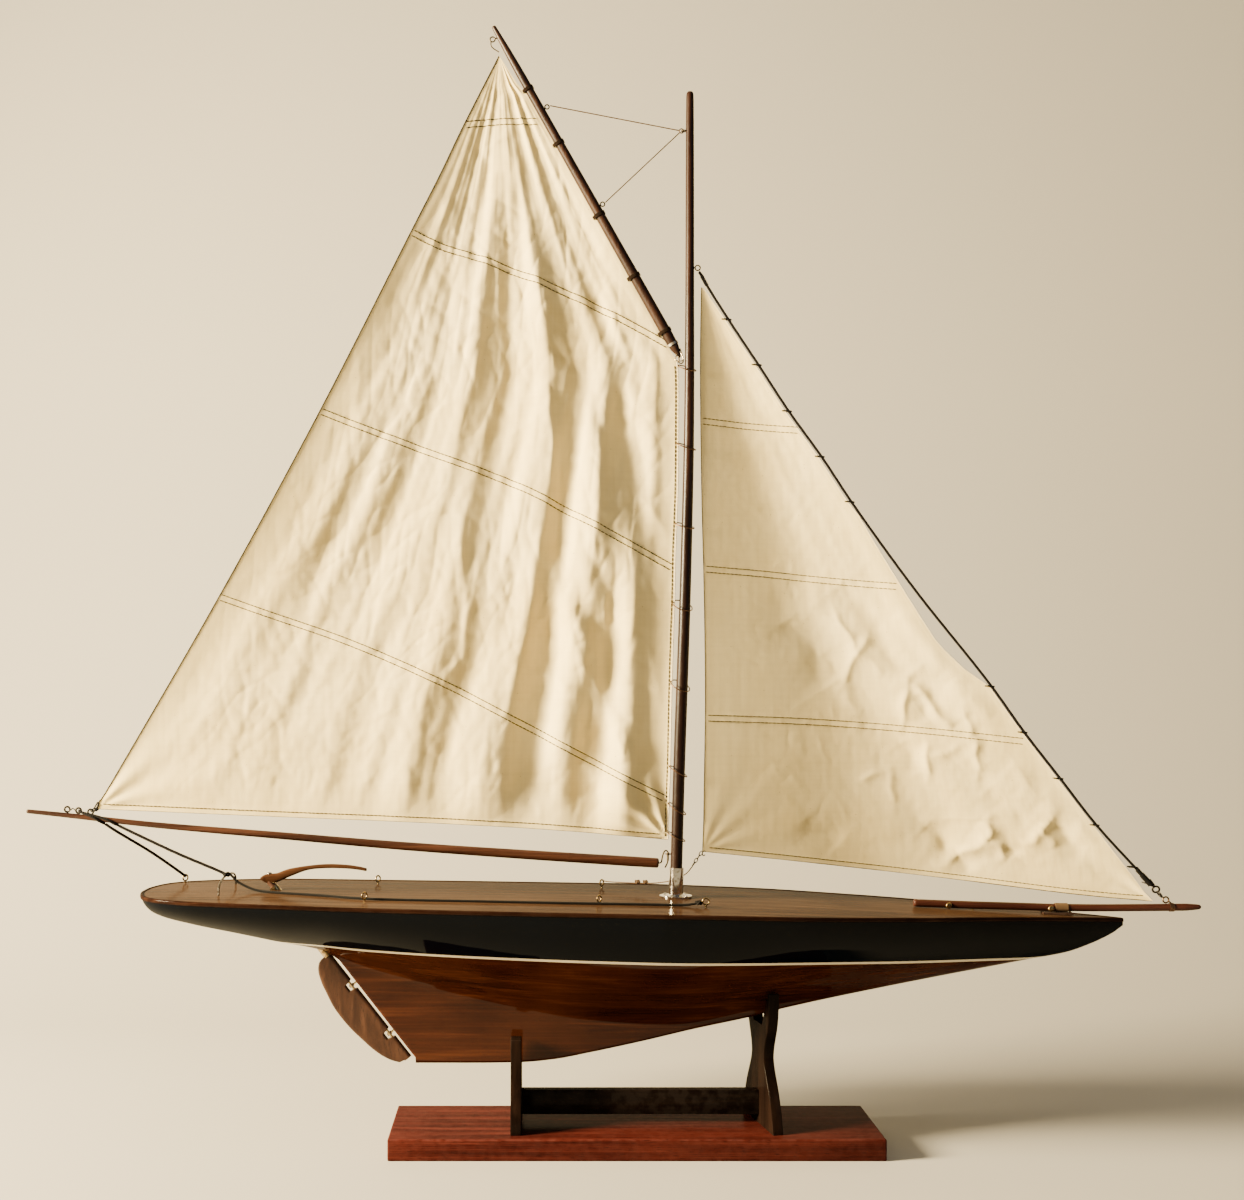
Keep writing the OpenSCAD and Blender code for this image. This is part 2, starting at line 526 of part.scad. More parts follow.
// ---- boom: [x, z] and [x, radius] ----
boom_tab = [[-568.2, 310.6], [-529, 306.6], [-450, 297.9], [-331, 287.8], [-213, 277.8],
  [-94, 269.5], [24, 262]];
boom_taper = [[-568.2, 1.5], [-567, 1.95], [-529, 2.35], [-450, 2.75], [-390, 3.1],
  [-331, 3.4], [-213, 3.95], [-94, 4.45], [0, 4.7], [22.6, 4.6], [24, 3.8]];
boom_xs = concat([-568.2, -567, -550, -529], [for (i = [0:19]) -505 + i * 27.4], [22.6, 24]);
function boom_z(x) = fair(boom_tab, x);
function by_boom(x, lift = 0, y = 0) = [x, y, boom_z(x) + lift];
module boom() color("#5a2c1a")
  rod([for (x = boom_xs) by_boom(x)], [for (x = boom_xs) lookup(x, boom_taper)], 24);
module boom_hook() color("#a08a55") {
  bent([[14, 0, 262.9], [21, 0, 262.3], [25.9, 0, 262.4], [27, 0, 266], [28, 0, 270.2],
    [29.6, 0, 273.3], [31.7, 0, 273.4], [32.6, 0, 271]], 0.7);
  bar(luff_line(272.4), luff_line(264), 1);
  bent([[32.5, 0, 265.6], [32.2, 0, 262.9], [31.2, 0, 260.3], [29.8, 0, 257.7]], 0.7);
}
module boom_eyes() color("silver") for (x = [-530, -519.4, -508.2]) {
  upright_ring(by_boom(x, 5.6), 2.4, 0.65);
  bar(by_boom(x, -1), by_boom(x, 3.4), 0.7);
}
module sheet_hook() color("silver") bent([[-526.3, 0, boom_z(-526) + 5.2],
  by_boom(-525.4, 7), by_boom(-523.4, 6.4), [-522.9, 0, boom_z(-523) + 5.4]], 0.5);
module clew_outhaul() color("#6a5a40")
  bent([by_boom(-504.6, 6.2), by_boom(-502.6, 9), [-500.4, 0, 315.8]], 0.6);

// ---- deck gear and sheets ----
eye_at = [[-245, -60], [-245, 60], [-34, -55], [-27, 58], [-431, 52], [62, -57]];
module deck_eyes() color("#a08a55") for (e = eye_at) translate(on_deck(e[0], e[1])) {
  translate([0, 0, -5]) cylinder(h = 7.4, r = 0.8);
  translate([0, 0, 5.2]) rotate([90, 0, e[0] > 50 ? 0 : 50]) ring(2.9, 0.75);
}
horse_x = -380;
horse_half = 41;
horse_top = 250.2;
module sheet_horse() color("#9a9080") {
  deck_level = deck_z(horse_x, horse_half);
  rod(concat([[horse_x, -horse_half, deck_level - 4]],
    [for (a = [0:12:180]) [horse_x, -horse_half * cos(a),
      deck_level + 1 + (horse_top - deck_level) * pow(sin(a), 0.55)]],
    [[horse_x, horse_half, deck_level - 4]]), 0.95, 10, [1, 0, 0]);
}
module mainsheet_fall() color("#181512") {
  bent([by_boom(-494, -4.6), [-484, 3, 291], [-458, 26, 269.5], [-434.5, 49, 246.8]],
    cord_r, 4);
  bent([by_boom(-481, -4.6, -1.5), [-466, -3, 290], [-425, -6, 271.5], [-384.5, -8, 254.8]],
    cord_r, 4);
}
module mainsheet_tail() color("#181512") {
  lying = cord_r + 0.35;
  raised = cord_r + 0.5;
  bent([[-377.6, -9, 254.8], [-368, -12, 246], on_deck(-350, -20, 2.4),
    on_deck(-330, -27, lying), on_deck(-290, -38, lying),
    [-249, -52.4, deck_z(-249, 52) + raised], on_deck(-213, -55, lying),
    on_deck(-140, -56, lying), [-69, -57.7, deck_z(-69, 57) + lying],
    [0, -57.7, deck_z(0, 57) + lying], on_deck(45, -57, raised), on_deck(55, -57, 4)], cord_r);
}
module jib_sheet() color("#6a5a40") bent([[65.5, 2, 266], [60, 6, 258], [52, 12, 250],
  [40, 14, 244], [13, 26, 239.5], [-8, 42, 238.2], [-22, 54, 237.4]], 0.6);

// ---- gaff ----
gaff_throat = [44, 0, 735.6];
gaff_peak = [-131, 0, 1045.8];
gaff_up = unit(gaff_peak - gaff_throat);
gaff_fwd = [gaff_up[2], 0, -gaff_up[0]];
gaff_length = norm(gaff_peak - gaff_throat);
// [distance from the throat, radius]
gaff_taper = [[0, 0.9], [4, 2.4], [10, 4.3], [18, gaff_r - 0.1], [30, gaff_r],
  [88, gaff_r * 0.965], [160, gaff_r * 0.905], [230, gaff_r * 0.82], [300, gaff_r * 0.775],
  [325, gaff_r * 0.67], [345, gaff_r * 0.5], [gaff_length - 1.2, 2.1], [gaff_length, 1.4]];
gaff_eye_zs = [966.9, 875.5];
function gaff_at(d) = gaff_throat + gaff_up * d;
function gaff_r_at(d) = lookup(d, gaff_taper);
function gaff_dist(z) = (z - gaff_throat[2]) / gaff_up[2];
function off_gaff(d, lift) = gaff_at(d) + gaff_fwd * (gaff_r_at(d) + lift);
module gaff() color("#5a2c1a") along(gaff_throat, gaff_peak) rotate_extrude($fn = 40)
  polygon(concat([[0, 0]], [for (q = gaff_taper) [q[1], q[0]]], [[0, gaff_length]]));
module gaff_ferrule() color("#8c8478")
  collar(gaff_at(13), gaff_at(15.2), gaff_r_at(14) + 0.75, gaff_r_at(15.2) + 0.04);
module gaff_eyes() color("#a08a55") {
  for (z = gaff_eye_zs) let (d = gaff_dist(z)) {
    upright_ring(off_gaff(d, 2.6), 2, wire_r);
    bar(gaff_at(d), off_gaff(d, 1), 0.7);
  }
  bar(luff_line(739.6), luff_line(732), 0.75);
  bent([luff_line(732.4), [42.7, 0, 730.9], [44.6, 0, 729.9], [46.6, 0, 730.8],
    [46.9, 0, 733.2]], 0.6);
}
bridle_top = high_eye + [-2.2, 0, 0];
module gaff_bridle() color("#7a5230") {
  upright_ring(bridle_top, 2, 0.5);
  for (z = gaff_eye_zs) let (end = off_gaff(gaff_dist(z), 5.2), dir = unit(bridle_top - end))
    bar(end + dir * 0.6, bridle_top - dir * 2.1, 0.5, 16);
}
module peak_link() color("silver") {
  root = gaff_at(gaff_length - 12);
  upright_ring(root + [-6.6, 0, -2], 2.3, wire_r);
  bar(root, root + [-4.6, 0, -1.4], 0.7);
  bent([root + [-8, 0, -3.6], root + [-7.4, 0, -9], [-125.6, 0, 1021.5]], 0.55);
}
module gaff_bands() color("#3a2418") for (z = [986.9, 936.2, 869, 811.5, 760]) {
  low = gaff_dist(z) - 1.2;
  collar(gaff_at(low), gaff_at(low + 2.4), gaff_r_at(low) + 0.7, gaff_r_at(low) + 0.03);
}

// ---- mainsail: rows run from the foot to the head, columns from the leech to the luff ----
// Leech: [z, x]
leech_tab = [[316, -498.6], [340, -486.8], [511, -387.9], [685, -293.3], [853, -208.1],
  [906, -180.9], [953, -158.4], [1014, -127.6]];
gaff_slant = 0.869;  // turns the gaff's radius into its fore-and-aft reach
function gaff_aft_x(z) = gaff_throat[0] + (gaff_peak[0] - gaff_throat[0])
  * (z - gaff_throat[2]) / (gaff_peak[2] - gaff_throat[2]) - gaff_r / gaff_slant - 1.2;
function luff_x(z) = let (x = luff_line(z)[0] - 3.4) z < 722 ? x : min(x, gaff_aft_x(z));
function main_point(across, up, side) = let (
    leech_z = 316 + (1010 - 316) * up,
    leech_x = fair(leech_tab, leech_z) + 1.2,
    fwd_z = 287 + (1006 - 287) * pow(up, 0.86),
    fwd_x = max(leech_x + 3, luff_x(fwd_z)))
  [leech_x + (fwd_x - leech_x) * across,
    main_belly * sin(180 * pow(across, 0.75)) * sin(180 * min(1, up * 0.93 + 0.07))
      + side * sail_thick / 2,
    leech_z + (fwd_z - leech_z) * across];
function main_face(side) =
  [for (i = [0:14]) [for (k = [0:8]) main_point(k / 8, i / 14, side)]];
module mainsail() color("ivory") skin(main_face(1), main_face(-1));

// ---- jib: rows run from the head down, columns from the leech to the luff ----
// Leech: [fraction down from the head, x]
jib_leech_tab = [[0, 64.3], [0.25, 64], [0.56, 66.6], [0.8, 67.6], [1, 66]];
function jib_luff(down) = let (
    z = 802.2 - (802.2 - 247.8) * down,
    sag = down > 0.35 && down < 0.74 ? 8 * pow(sin(180 * (down - 0.35) / 0.39), 1.3) : 0)
  hang(z) - [4.6 + sag, 0, 0];
function jib_point(across, down, side) = let (
    luff = jib_luff(down),
    leech_x = fair(jib_leech_tab, down),
    leech_z = 797 - (797 - 277) * down)
  [leech_x + (max(leech_x + 2.4, luff[0]) - leech_x) * across,
    jib_belly * sin(180 * pow(across, 0.9)) * sin(180 * min(1, down * 0.86 + 0.02))
      + side * sail_thick / 2,
    leech_z + (luff[2] - leech_z) * across - 3 * sin(180 * across) * down * down];
function jib_face(side) =
  [for (i = [0:14]) [for (k = [0:7]) jib_point(k / 7, i / 14, side)]];
module jib_sail() color("ivory") skin(jib_face(1), jib_face(-1));
hank_zs = [770.9, 728.3, 685, 642.4, 600.1, 427.5, 384.4, 341.1, 297.6, 258];
module jib_hanks() color("#3c352c")
  for (z = hank_zs) along(hang(z + 0.6), hang(z - 0.6)) ring(2.3, 0.5, 20);
module jib_clew_hook() color("silver")
  bent([[66.6, 0, 273.6], [64.6, 0, 271.4], [65.6, 0, 269], [67.4, 0, 269.8]], 0.5);
module jib_tack_line() color("#3c352c") bent([jib_luff(1) + [1.6, 0, -3.4],
  jib_luff(1) + [4, 0, -4.4], hang(243) + [-2.2, 0, -0.4]], 0.5, 2);

base_plank();
stand_upright_aft();
stand_upright_fwd();
stand_rail();
stand_screws();
hull_bottom();
boot_stripe();
hull_topsides();
bow_block();
stern_block();
deck();
covering_boards();
deck_beams();
mast_block();
ballast_bar();
ballast_bolts();
rudder_tube();
rudder_gudgeons();
mast_socket();
socket_screws();
mast();
mast_eyes();
mast_hoops();
bowsprit();
bowsprit_strap();
bowsprit_chock();
bowsprit_screws();
bowsprit_ring();
forestay();
forestay_link();
deck_eyes();
sheet_horse();
mainsheet_fall();
mainsheet_tail();
jib_sheet();
rudder_blade();
rudder_stock();
rudder_pintles();
tiller();
tiller_screw();
boom();
boom_hook();
boom_eyes();
sheet_hook();
clew_outhaul();
mainsail();
gaff();
gaff_ferrule();
gaff_eyes();
gaff_bridle();
peak_link();
gaff_bands();
jib_sail();
jib_hanks();
jib_clew_hook();
jib_tack_line();
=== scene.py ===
# A model gaff-rigged sloop on a wooden stand.
# x runs from stern to bow, y to port and z up; the stand's base board rests on z = 0.
# Geometry is worked out in millimetres and scaled to metres when a mesh is made.
# Lights, camera and floor are given in metres.
import bpy, bmesh, math
import numpy as np
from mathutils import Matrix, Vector
from mathutils.bvhtree import BVHTree


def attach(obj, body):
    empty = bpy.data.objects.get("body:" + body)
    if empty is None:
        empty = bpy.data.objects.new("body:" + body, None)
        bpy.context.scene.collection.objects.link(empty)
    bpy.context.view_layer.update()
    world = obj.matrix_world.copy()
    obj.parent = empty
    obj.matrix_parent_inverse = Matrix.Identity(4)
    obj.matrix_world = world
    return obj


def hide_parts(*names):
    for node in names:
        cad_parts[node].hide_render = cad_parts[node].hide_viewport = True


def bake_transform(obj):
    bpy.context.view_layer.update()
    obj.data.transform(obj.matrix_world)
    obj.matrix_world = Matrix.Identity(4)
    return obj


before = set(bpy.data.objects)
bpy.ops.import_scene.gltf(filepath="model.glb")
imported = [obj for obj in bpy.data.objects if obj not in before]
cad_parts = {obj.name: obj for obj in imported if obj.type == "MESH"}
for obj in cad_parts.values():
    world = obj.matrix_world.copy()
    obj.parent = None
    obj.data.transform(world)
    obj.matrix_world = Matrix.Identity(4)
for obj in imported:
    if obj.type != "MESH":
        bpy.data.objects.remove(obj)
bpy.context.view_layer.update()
MM = 0.001
TURN = 2 * math.pi
collection = bpy.context.collection
materials = {}


# ---------------------------------------------------------------- objects
def vec(*values):
    return np.array(values, float)


def unit(vector):
    return vector / np.linalg.norm(vector)


def sharp_by_angle(mesh, degrees):
    bm = bmesh.new()
    bm.from_mesh(mesh)
    limit = math.radians(degrees)
    for edge in bm.edges:
        edge.smooth = not (len(edge.link_faces) != 2 or edge.calc_face_angle(0) > limit)
    bm.to_mesh(mesh)
    bm.free()


def smooth_faces(mesh):
    mesh.polygons.foreach_set("use_smooth", [True] * len(mesh.polygons))


def recalc_normals(ob):
    bm = bmesh.new()
    bm.from_mesh(ob.data)
    bmesh.ops.recalc_face_normals(bm, faces=bm.faces[:])
    bm.to_mesh(ob.data)
    bm.free()


def new_object(name, geometry, material):
    verts, faces = geometry
    mesh = bpy.data.meshes.new(name)
    points = np.asarray(verts, float) * MM
    mesh.from_pydata([tuple(p) for p in points], [], [tuple(f) for f in faces])
    mesh.validate()
    mesh.update()
    ob = bpy.data.objects.new(name, mesh)
    collection.objects.link(ob)
    mesh.materials.append(materials[material])
    smooth_faces(mesh)
    return ob


def register(ob, body, replaces):
    if body:
        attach(ob, body)
    if replaces:
        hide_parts(*replaces)


def mesh_object(name, geometry, material, body, replaces=(), sharp=None,
                recalc=False):
    """the mesh's one slot holds the material of that name"""
    ob = new_object(name, geometry, material)
    if sharp is not None:
        sharp_by_angle(ob.data, sharp)
    register(ob, body, replaces)
    if recalc:
        recalc_normals(ob)
    return ob


def bevelled_object(name, geometry, material, body, width, segments, replaces):
    ob = new_object(name, geometry, material)
    bm = bmesh.new()
    bm.from_mesh(ob.data)
    bmesh.ops.recalc_face_normals(bm, faces=bm.faces[:])
    edges = [e for e in bm.edges
             if len(e.link_faces) == 2 and e.calc_face_angle(0) > math.radians(28)]
    bmesh.ops.bevel(bm, geom=edges, offset=width * MM, segments=segments, profile=0.6,
                    affect="EDGES", clamp_overlap=True)
    bm.to_mesh(ob.data)
    bm.free()
    smooth_faces(ob.data)
    sharp_by_angle(ob.data, 40)
    register(ob, body, replaces)


# ---------------------------------------------------------------- curves
def catmull(points, steps=8):
    """Catmull-Rom curve through the points, with so many steps a span"""
    P = np.asarray(points, float)
    out = []
    for i in range(len(P) - 1):
        a, b, c, d = P[max(0, i - 1)], P[i], P[i + 1], P[min(len(P) - 1, i + 2)]
        for k in range(steps):
            t = k / steps
            out.append(0.5 * ((2 * b) + (c - a) * t + (2 * a - 5 * b + 4 * c - d) * t * t
                              + (3 * b - a - 3 * c + d) * t ** 3))
    out.append(P[-1])
    return np.array(out)


def columns_at(wanted, lengths, path):
    return np.stack([np.interp(wanted, lengths, path[:, k]) for k in range(path.shape[1])], 1)


def lengths_along(path):
    return np.r_[0, np.cumsum(np.linalg.norm(np.diff(path, axis=0), axis=1))]


def resample(path, step):
    """evenly spaced points, and their distances along the path"""
    path = np.asarray(path, float)
    lengths = lengths_along(path)
    count = max(2, int(round(lengths[-1] / step)) + 1)
    even = np.linspace(0, lengths[-1], count)
    return columns_at(even, lengths, path), even


def at_fractions(path, fractions):
    lengths = lengths_along(path)
    return columns_at(fractions * lengths[-1], lengths, path)


def offset_line(path, distance):
    """a path in x and z moved sideways, to the left of its run"""
    tangent = np.gradient(path, axis=0)
    tangent /= np.linalg.norm(tangent, axis=1)[:, None]
    return path + distance * np.stack([-tangent[:, 1], tangent[:, 0]], 1)


def fair(table, x):
    """smooth curve through a table of (x, value) that does not overshoot"""
    table = np.asarray(table, float)
    X, Y = table[:, 0], table[:, 1]
    slope = np.diff(Y) / np.diff(X)
    before, after = slope[:-1], slope[1:]
    with np.errstate(divide="ignore", invalid="ignore"):
        mid = np.where(before * after <= 0, 0, 2 * before * after / (before + after))
    m = np.r_[slope[0], np.nan_to_num(mid), slope[-1]]
    x = np.asarray(x, float)
    i = np.clip(np.searchsorted(X, x, side="right") - 1, 0, len(X) - 2)
    h = X[i + 1] - X[i]
    q = np.clip((x - X[i]) / h, 0, 1)
    q2 = q * q
    q3 = q2 * q
    return (Y[i] * (2 * q3 - 3 * q2 + 1) + h * m[i] * (q3 - 2 * q2 + q)
            + Y[i + 1] * (3 * q2 - 2 * q3) + h * m[i + 1] * (q3 - q2))


def linear(table, x):
    return np.interp(x, [row[0] for row in table], [row[1] for row in table])


# ---------------------------------------------------------------- geometry: (vertices, faces)
def path_frames(path):
    """tangent and two untwisted normals at every point"""
    tangent = np.gradient(path, axis=0)
    tangent /= np.maximum(1e-9, np.linalg.norm(tangent, axis=1))[:, None]
    ref = vec(0, 1, 0) if abs(tangent[0][1]) < 0.9 else vec(1, 0, 0)
    normal = np.zeros_like(path)
    normal[0] = unit(np.cross(tangent[0], ref))
    for i in range(1, len(path)):
        n = normal[i - 1] - tangent[i] * np.dot(normal[i - 1], tangent[i])
        normal[i] = n / max(1e-9, np.linalg.norm(n))
    return tangent, normal, np.cross(tangent, normal)


def loft_faces(rings, sides, closed=False):
    """quads that join one ring of vertices to the next"""
    faces = []
    for i in range(rings if closed else rings - 1):
        j = (i + 1) % rings
        for k in range(sides):
            l = (k + 1) % sides
            faces.append((i * sides + k, i * sides + l, j * sides + l, j * sides + k))
    return faces


def end_caps(rings, sides):
    return [tuple(range(sides))[::-1], tuple((rings - 1) * sides + k for k in range(sides))]


def sweep_geo(path, radius, sides=10, closed=False):
    """round rod along a path; radius is a number or one per point"""
    path = np.asarray(path, float)
    rings = len(path)
    _, normal, binormal = path_frames(path)
    radius = np.broadcast_to(np.asarray(radius, float), (rings,))
    angle = np.arange(sides) * 2 * math.pi / sides
    verts = path[:, None, :] + radius[:, None, None] * (
        np.cos(angle)[None, :, None] * normal[:, None, :]
        + np.sin(angle)[None, :, None] * binormal[:, None, :])
    faces = loft_faces(rings, sides, closed)
    if not closed:
        faces += end_caps(rings, sides)
    return verts.reshape(-1, 3), faces


def join_geo(parts):
    verts, faces, start = [], [], 0
    for part_verts, part_faces in parts:
        verts.append(np.asarray(part_verts))
        faces += [tuple(start + i for i in f) for f in part_faces]
        start += len(part_verts)
    return np.concatenate(verts), faces


def rope_geo(path, radius, strands, pitch, step, sides=7, lay=0.5, fat=0.56):
    """laid rope; lay and fat are the strands' offset and radius as parts of the radius"""
    path, along = resample(path, step)
    _, normal, binormal = path_frames(path)
    parts = []
    for k in range(strands):
        a = 2 * math.pi * (along / pitch + k / strands)
        strand = path + radius * lay * (np.cos(a)[:, None] * normal
                                        + np.sin(a)[:, None] * binormal)
        parts.append(sweep_geo(strand, radius * fat, sides))
    return join_geo(parts)


def cord_geo(path, radius, step):
    """the three-strand cord of the stay and the mainsheet"""
    return rope_geo(path, radius, 3, 6.5, step, lay=0.34, fat=0.7)


def serving_geo(path, radius, wire, turns):
    """one layer of thread wound round a path"""
    path, lengths = resample(path, 0.4)
    count = int(turns * 22)
    centre = columns_at(np.linspace(0, lengths[-1], count), lengths, path)
    _, normal, binormal = path_frames(centre)
    a = np.linspace(0, turns * 2 * math.pi, count)
    winding = np.cos(a)[:, None] * normal + np.sin(a)[:, None] * binormal
    return sweep_geo(centre + radius * winding, wire, 6)


def link_geo(centre, first, second, first_radius, second_radius, wire, points=30):
    """closed wire ring in the plane of two directions"""
    t = np.linspace(0, TURN, points + 1)[:-1]
    path = (centre + first_radius * np.cos(t)[:, None] * first
            + second_radius * np.sin(t)[:, None] * second)
    return sweep_geo(path, wire, 8, closed=True)


def skin_geo(front, back):
    """solid between two grids of points, closed round the rim"""
    n, m = len(front), len(front[0])
    o = n * m
    verts = np.concatenate([np.asarray(front).reshape(-1, 3), np.asarray(back).reshape(-1, 3)])
    faces = []
    for i in range(n - 1):
        for k in range(m - 1):
            a = i * m + k
            b = a + m
            faces.append((a, b, b + 1, a + 1))
            faces.append((o + a, o + a + 1, o + b + 1, o + b))
    for i in range(n - 1):
        a = i * m
        b, c = a + m, a + m - 1
        d = c + m
        faces.append((b, a, o + a, o + b))
        faces.append((c, d, o + d, o + c))
    for k in range(m - 1):
        e = (n - 1) * m + k
        faces.append((k, k + 1, o + k + 1, o + k))
        faces.append((e + 1, e, o + e, o + e + 1))
    return verts, faces


def prism_geo(outline, thick, place):
    """place turns an outline point and a depth into a point in space"""
    n = len(outline)
    verts = [place(p, side * thick / 2) for side in (-1, 1) for p in outline]
    faces = [tuple(range(n))[::-1], tuple(range(n, 2 * n))]
    faces += [(i, (i + 1) % n, n + (i + 1) % n, n + i) for i in range(n)]
    return np.array(verts), faces


# ---------------------------------------------------------------- gradient noise
noise_rng = np.random.RandomState(7)
noise_order = noise_rng.permutation(256)
noise_order = np.r_[noise_order, noise_order]
noise_slopes = noise_rng.uniform(-1, 1, (256, 2))
noise_slopes /= np.linalg.norm(noise_slopes, axis=1)[:, None]


def noise2(x, y, seed=0):
    x = np.asarray(x, float) + seed * 17.31
    y = np.asarray(y, float) + seed * 9.73
    xi, yi = np.floor(x).astype(int), np.floor(y).astype(int)
    xf, yf = x - xi, y - yi

    def corner(i, j):
        slope = noise_slopes[noise_order[(noise_order[(xi + i) & 255] + yi + j) & 255]]
        return slope[..., 0] * (xf - i) + slope[..., 1] * (yf - j)
    u = xf ** 3 * (xf * (xf * 6 - 15) + 10)
    w = yf ** 3 * (yf * (yf * 6 - 15) + 10)
    return 1.5 * ((corner(0, 0) * (1 - u) + corner(1, 0) * u) * (1 - w)
                  + (corner(0, 1) * (1 - u) + corner(1, 1) * u) * w)


def ridge(x, y, seed=0):
    return (0.5 - np.abs(noise2(x, y, seed))) * 2


# ---------------------------------------------------------------- materials
class Shader:
    """A Principled material. Methods add a node and return its output socket;
    any value may be a number, a colour or another node's socket."""

    def __init__(self, name):
        material = bpy.data.materials.new(name)
        material.use_nodes = True
        materials[name] = material
        self.tree = material.node_tree
        self.tree.nodes.clear()
        self.output = self.node("OutputMaterial")
        self.principled = self.node("BsdfPrincipled")
        self.put(self.output.inputs[0], self.principled.outputs[0])

    def put(self, socket, value):
        if isinstance(value, bpy.types.NodeSocket):
            self.tree.links.new(value, socket)
        else:
            socket.default_value = value

    def node(self, kind, sockets=None, **properties):
        node = self.tree.nodes.new("ShaderNode" + kind)
        for key, value in properties.items():
            setattr(node, key, value)
        for key, value in (sockets or {}).items():
            self.put(node.inputs[key], value)
        return node

    def surface(self, sockets):
        for key, value in sockets.items():
            self.put(self.principled.inputs[key], value)

    def coords(self, stretch=(1, 1, 1), turn=(0, 0, 0)):
        source = self.node("TexCoord").outputs["Object"]
        sockets = {"Scale": stretch, "Rotation": turn, "Vector": source}
        return self.node("Mapping", sockets).outputs["Vector"]

    def noise(self, scale, detail=2, vector=None, **more):
        sockets = {"Scale": scale, "Detail": detail, "Vector": vector or self.coords(), **more}
        return self.node("TexNoise", sockets).outputs["Fac"]

    def wave(self, direction, vector, sockets):
        sockets = {**sockets, "Vector": vector}
        return self.node("TexWave", sockets, bands_direction=direction).outputs["Fac"]

    def ramp(self, factor, stops):
        node = self.node("ValToRGB", {"Fac": factor})
        elements = node.color_ramp.elements
        while len(elements) < len(stops):
            elements.new(0.5)
        for i, (position, colour) in enumerate(stops):
            elements[i].position = position
            elements[i].color = (*colour, 1)
        return node.outputs["Color"]

    def mix(self, factor, first, second):
        pair = [(*c, 1) if isinstance(c, tuple) else c for c in (first, second)]
        sockets = {0: factor, 6: pair[0], 7: pair[1]}
        return self.node("Mix", sockets, data_type="RGBA", blend_type="MIX").outputs[2]

    def math(self, operation, first, second):
        return self.node("Math", {0: first, 1: second}, operation=operation).outputs[0]

    def times(self, first, second):
        return self.math("MULTIPLY", first, second)

    def between(self, value, low, high):
        """0 at low, 1 at high"""
        sockets = {"From Min": low, "From Max": high, "Value": value}
        return self.node("MapRange", sockets).outputs["Result"]

    def bump(self, height, strength, distance):
        sockets = {"Strength": strength, "Distance": distance, "Height": height}
        return self.node("Bump", sockets).outputs["Normal"]


def scaled(colour, factor):
    return tuple(c * factor for c in colour)


def wood(name, dark, mid, light, grain, coat, rough=0.42, coat_rough=0.2, pore=0.3,
         ripple=0.0, wear=0.0, tilt=0.0, bump=0.15, blotch=0.35, spec=0.0):
    """grain: texture scale along x, y, z, least along the fibres; tilt: its turn about y,
    in degrees; pore, blotch and wear: strength of pores, broad patches and rubbed edges;
    ripple: unevenness of the varnish"""
    s = Shader(name)
    turn = (0, math.radians(tilt), 0)
    fibres = s.coords(grain, turn)
    streaks = s.noise(scale=1.0, detail=7, vector=fibres, Roughness=0.62, Distortion=0.6)
    colour = s.ramp(streaks, [(0.28, dark), (0.5, mid), (0.72, light)])
    ribbon = s.wave("Z", fibres, {"Scale": 0.9, "Distortion": 7, "Detail": 3,
                                  "Detail Scale": 1.2})
    colour = s.mix(s.times(ribbon, 0.35), colour, dark)
    patches = s.noise(scale=9, detail=3, vector=s.coords((1, 1.4, 1.4)))
    patches = s.between(patches, low=0.42, high=0.68)
    colour = s.mix(s.times(patches, blotch), colour, light)
    # pores are much finer than the grain across the fibres and along them
    fine = tuple(g * 14 if g > 10 else g * 26 for g in grain)
    pores = s.noise(scale=1, detail=2, vector=s.coords(fine, turn))
    pores = s.between(pores, low=0.60, high=0.72)
    colour = s.mix(s.times(pores, pore), colour, scaled(dark, 0.35))
    if wear > 0:
        edges = s.between(s.node("NewGeometry").outputs["Pointiness"], low=0.53, high=0.62)
        broken = s.between(s.noise(scale=120), low=0.4, high=0.6)
        rubbed = tuple(min(1, c * 1.6 + 0.03) for c in light)
        colour = s.mix(s.times(s.times(edges, broken), wear), colour, rubbed)
    s.surface({
        "Base Color": colour,
        "Roughness": s.math("ADD", s.times(streaks, 0.2), rough - 0.1),
        "Coat Weight": coat, "Coat Roughness": coat_rough, "Specular IOR Level": spec,
        "Normal": s.bump(s.math("SUBTRACT", streaks, pores), bump, distance=0.0006)})
    if ripple:
        waves = s.noise(scale=55, detail=2, vector=s.coords((0.6, 1, 1)))
        s.surface({"Coat Normal": s.bump(waves, ripple, distance=0.001)})


def gloss_paint(name, first, second, rough, coat, spec):
    s = Shader(name)
    scuffs = s.noise(scale=260, detail=6, vector=s.coords((0.25, 1, 1)))
    scuffs = s.between(scuffs, low=0.5, high=0.8)
    waves = s.noise(scale=42, detail=2.5, vector=s.coords((0.5, 1, 1.3)))
    normal = s.bump(waves, strength=0.10, distance=0.002)
    s.surface({
        "Base Color": s.mix(s.noise(scale=14, detail=4), first, second),
        "Roughness": s.math("ADD", s.times(scuffs, 0.2), rough),
        "Coat Weight": coat, "Coat Roughness": 0.05, "Specular IOR Level": spec,
        "Normal": normal, "Coat Normal": normal})


def metal(name, clean, dull, rough, scale, bump):
    """rough: roughness of the clean and of the dull metal"""
    s = Shader(name)
    grain = s.noise(scale=scale, detail=5)
    tarnish = s.between(grain, low=0.42, high=0.66)
    s.surface({
        "Base Color": s.mix(tarnish, clean, dull),
        "Roughness": s.math("ADD", s.times(tarnish, rough[1] - rough[0]), rough[0]),
        "Metallic": 1, "Normal": s.bump(grain, bump, distance=0.0002)})


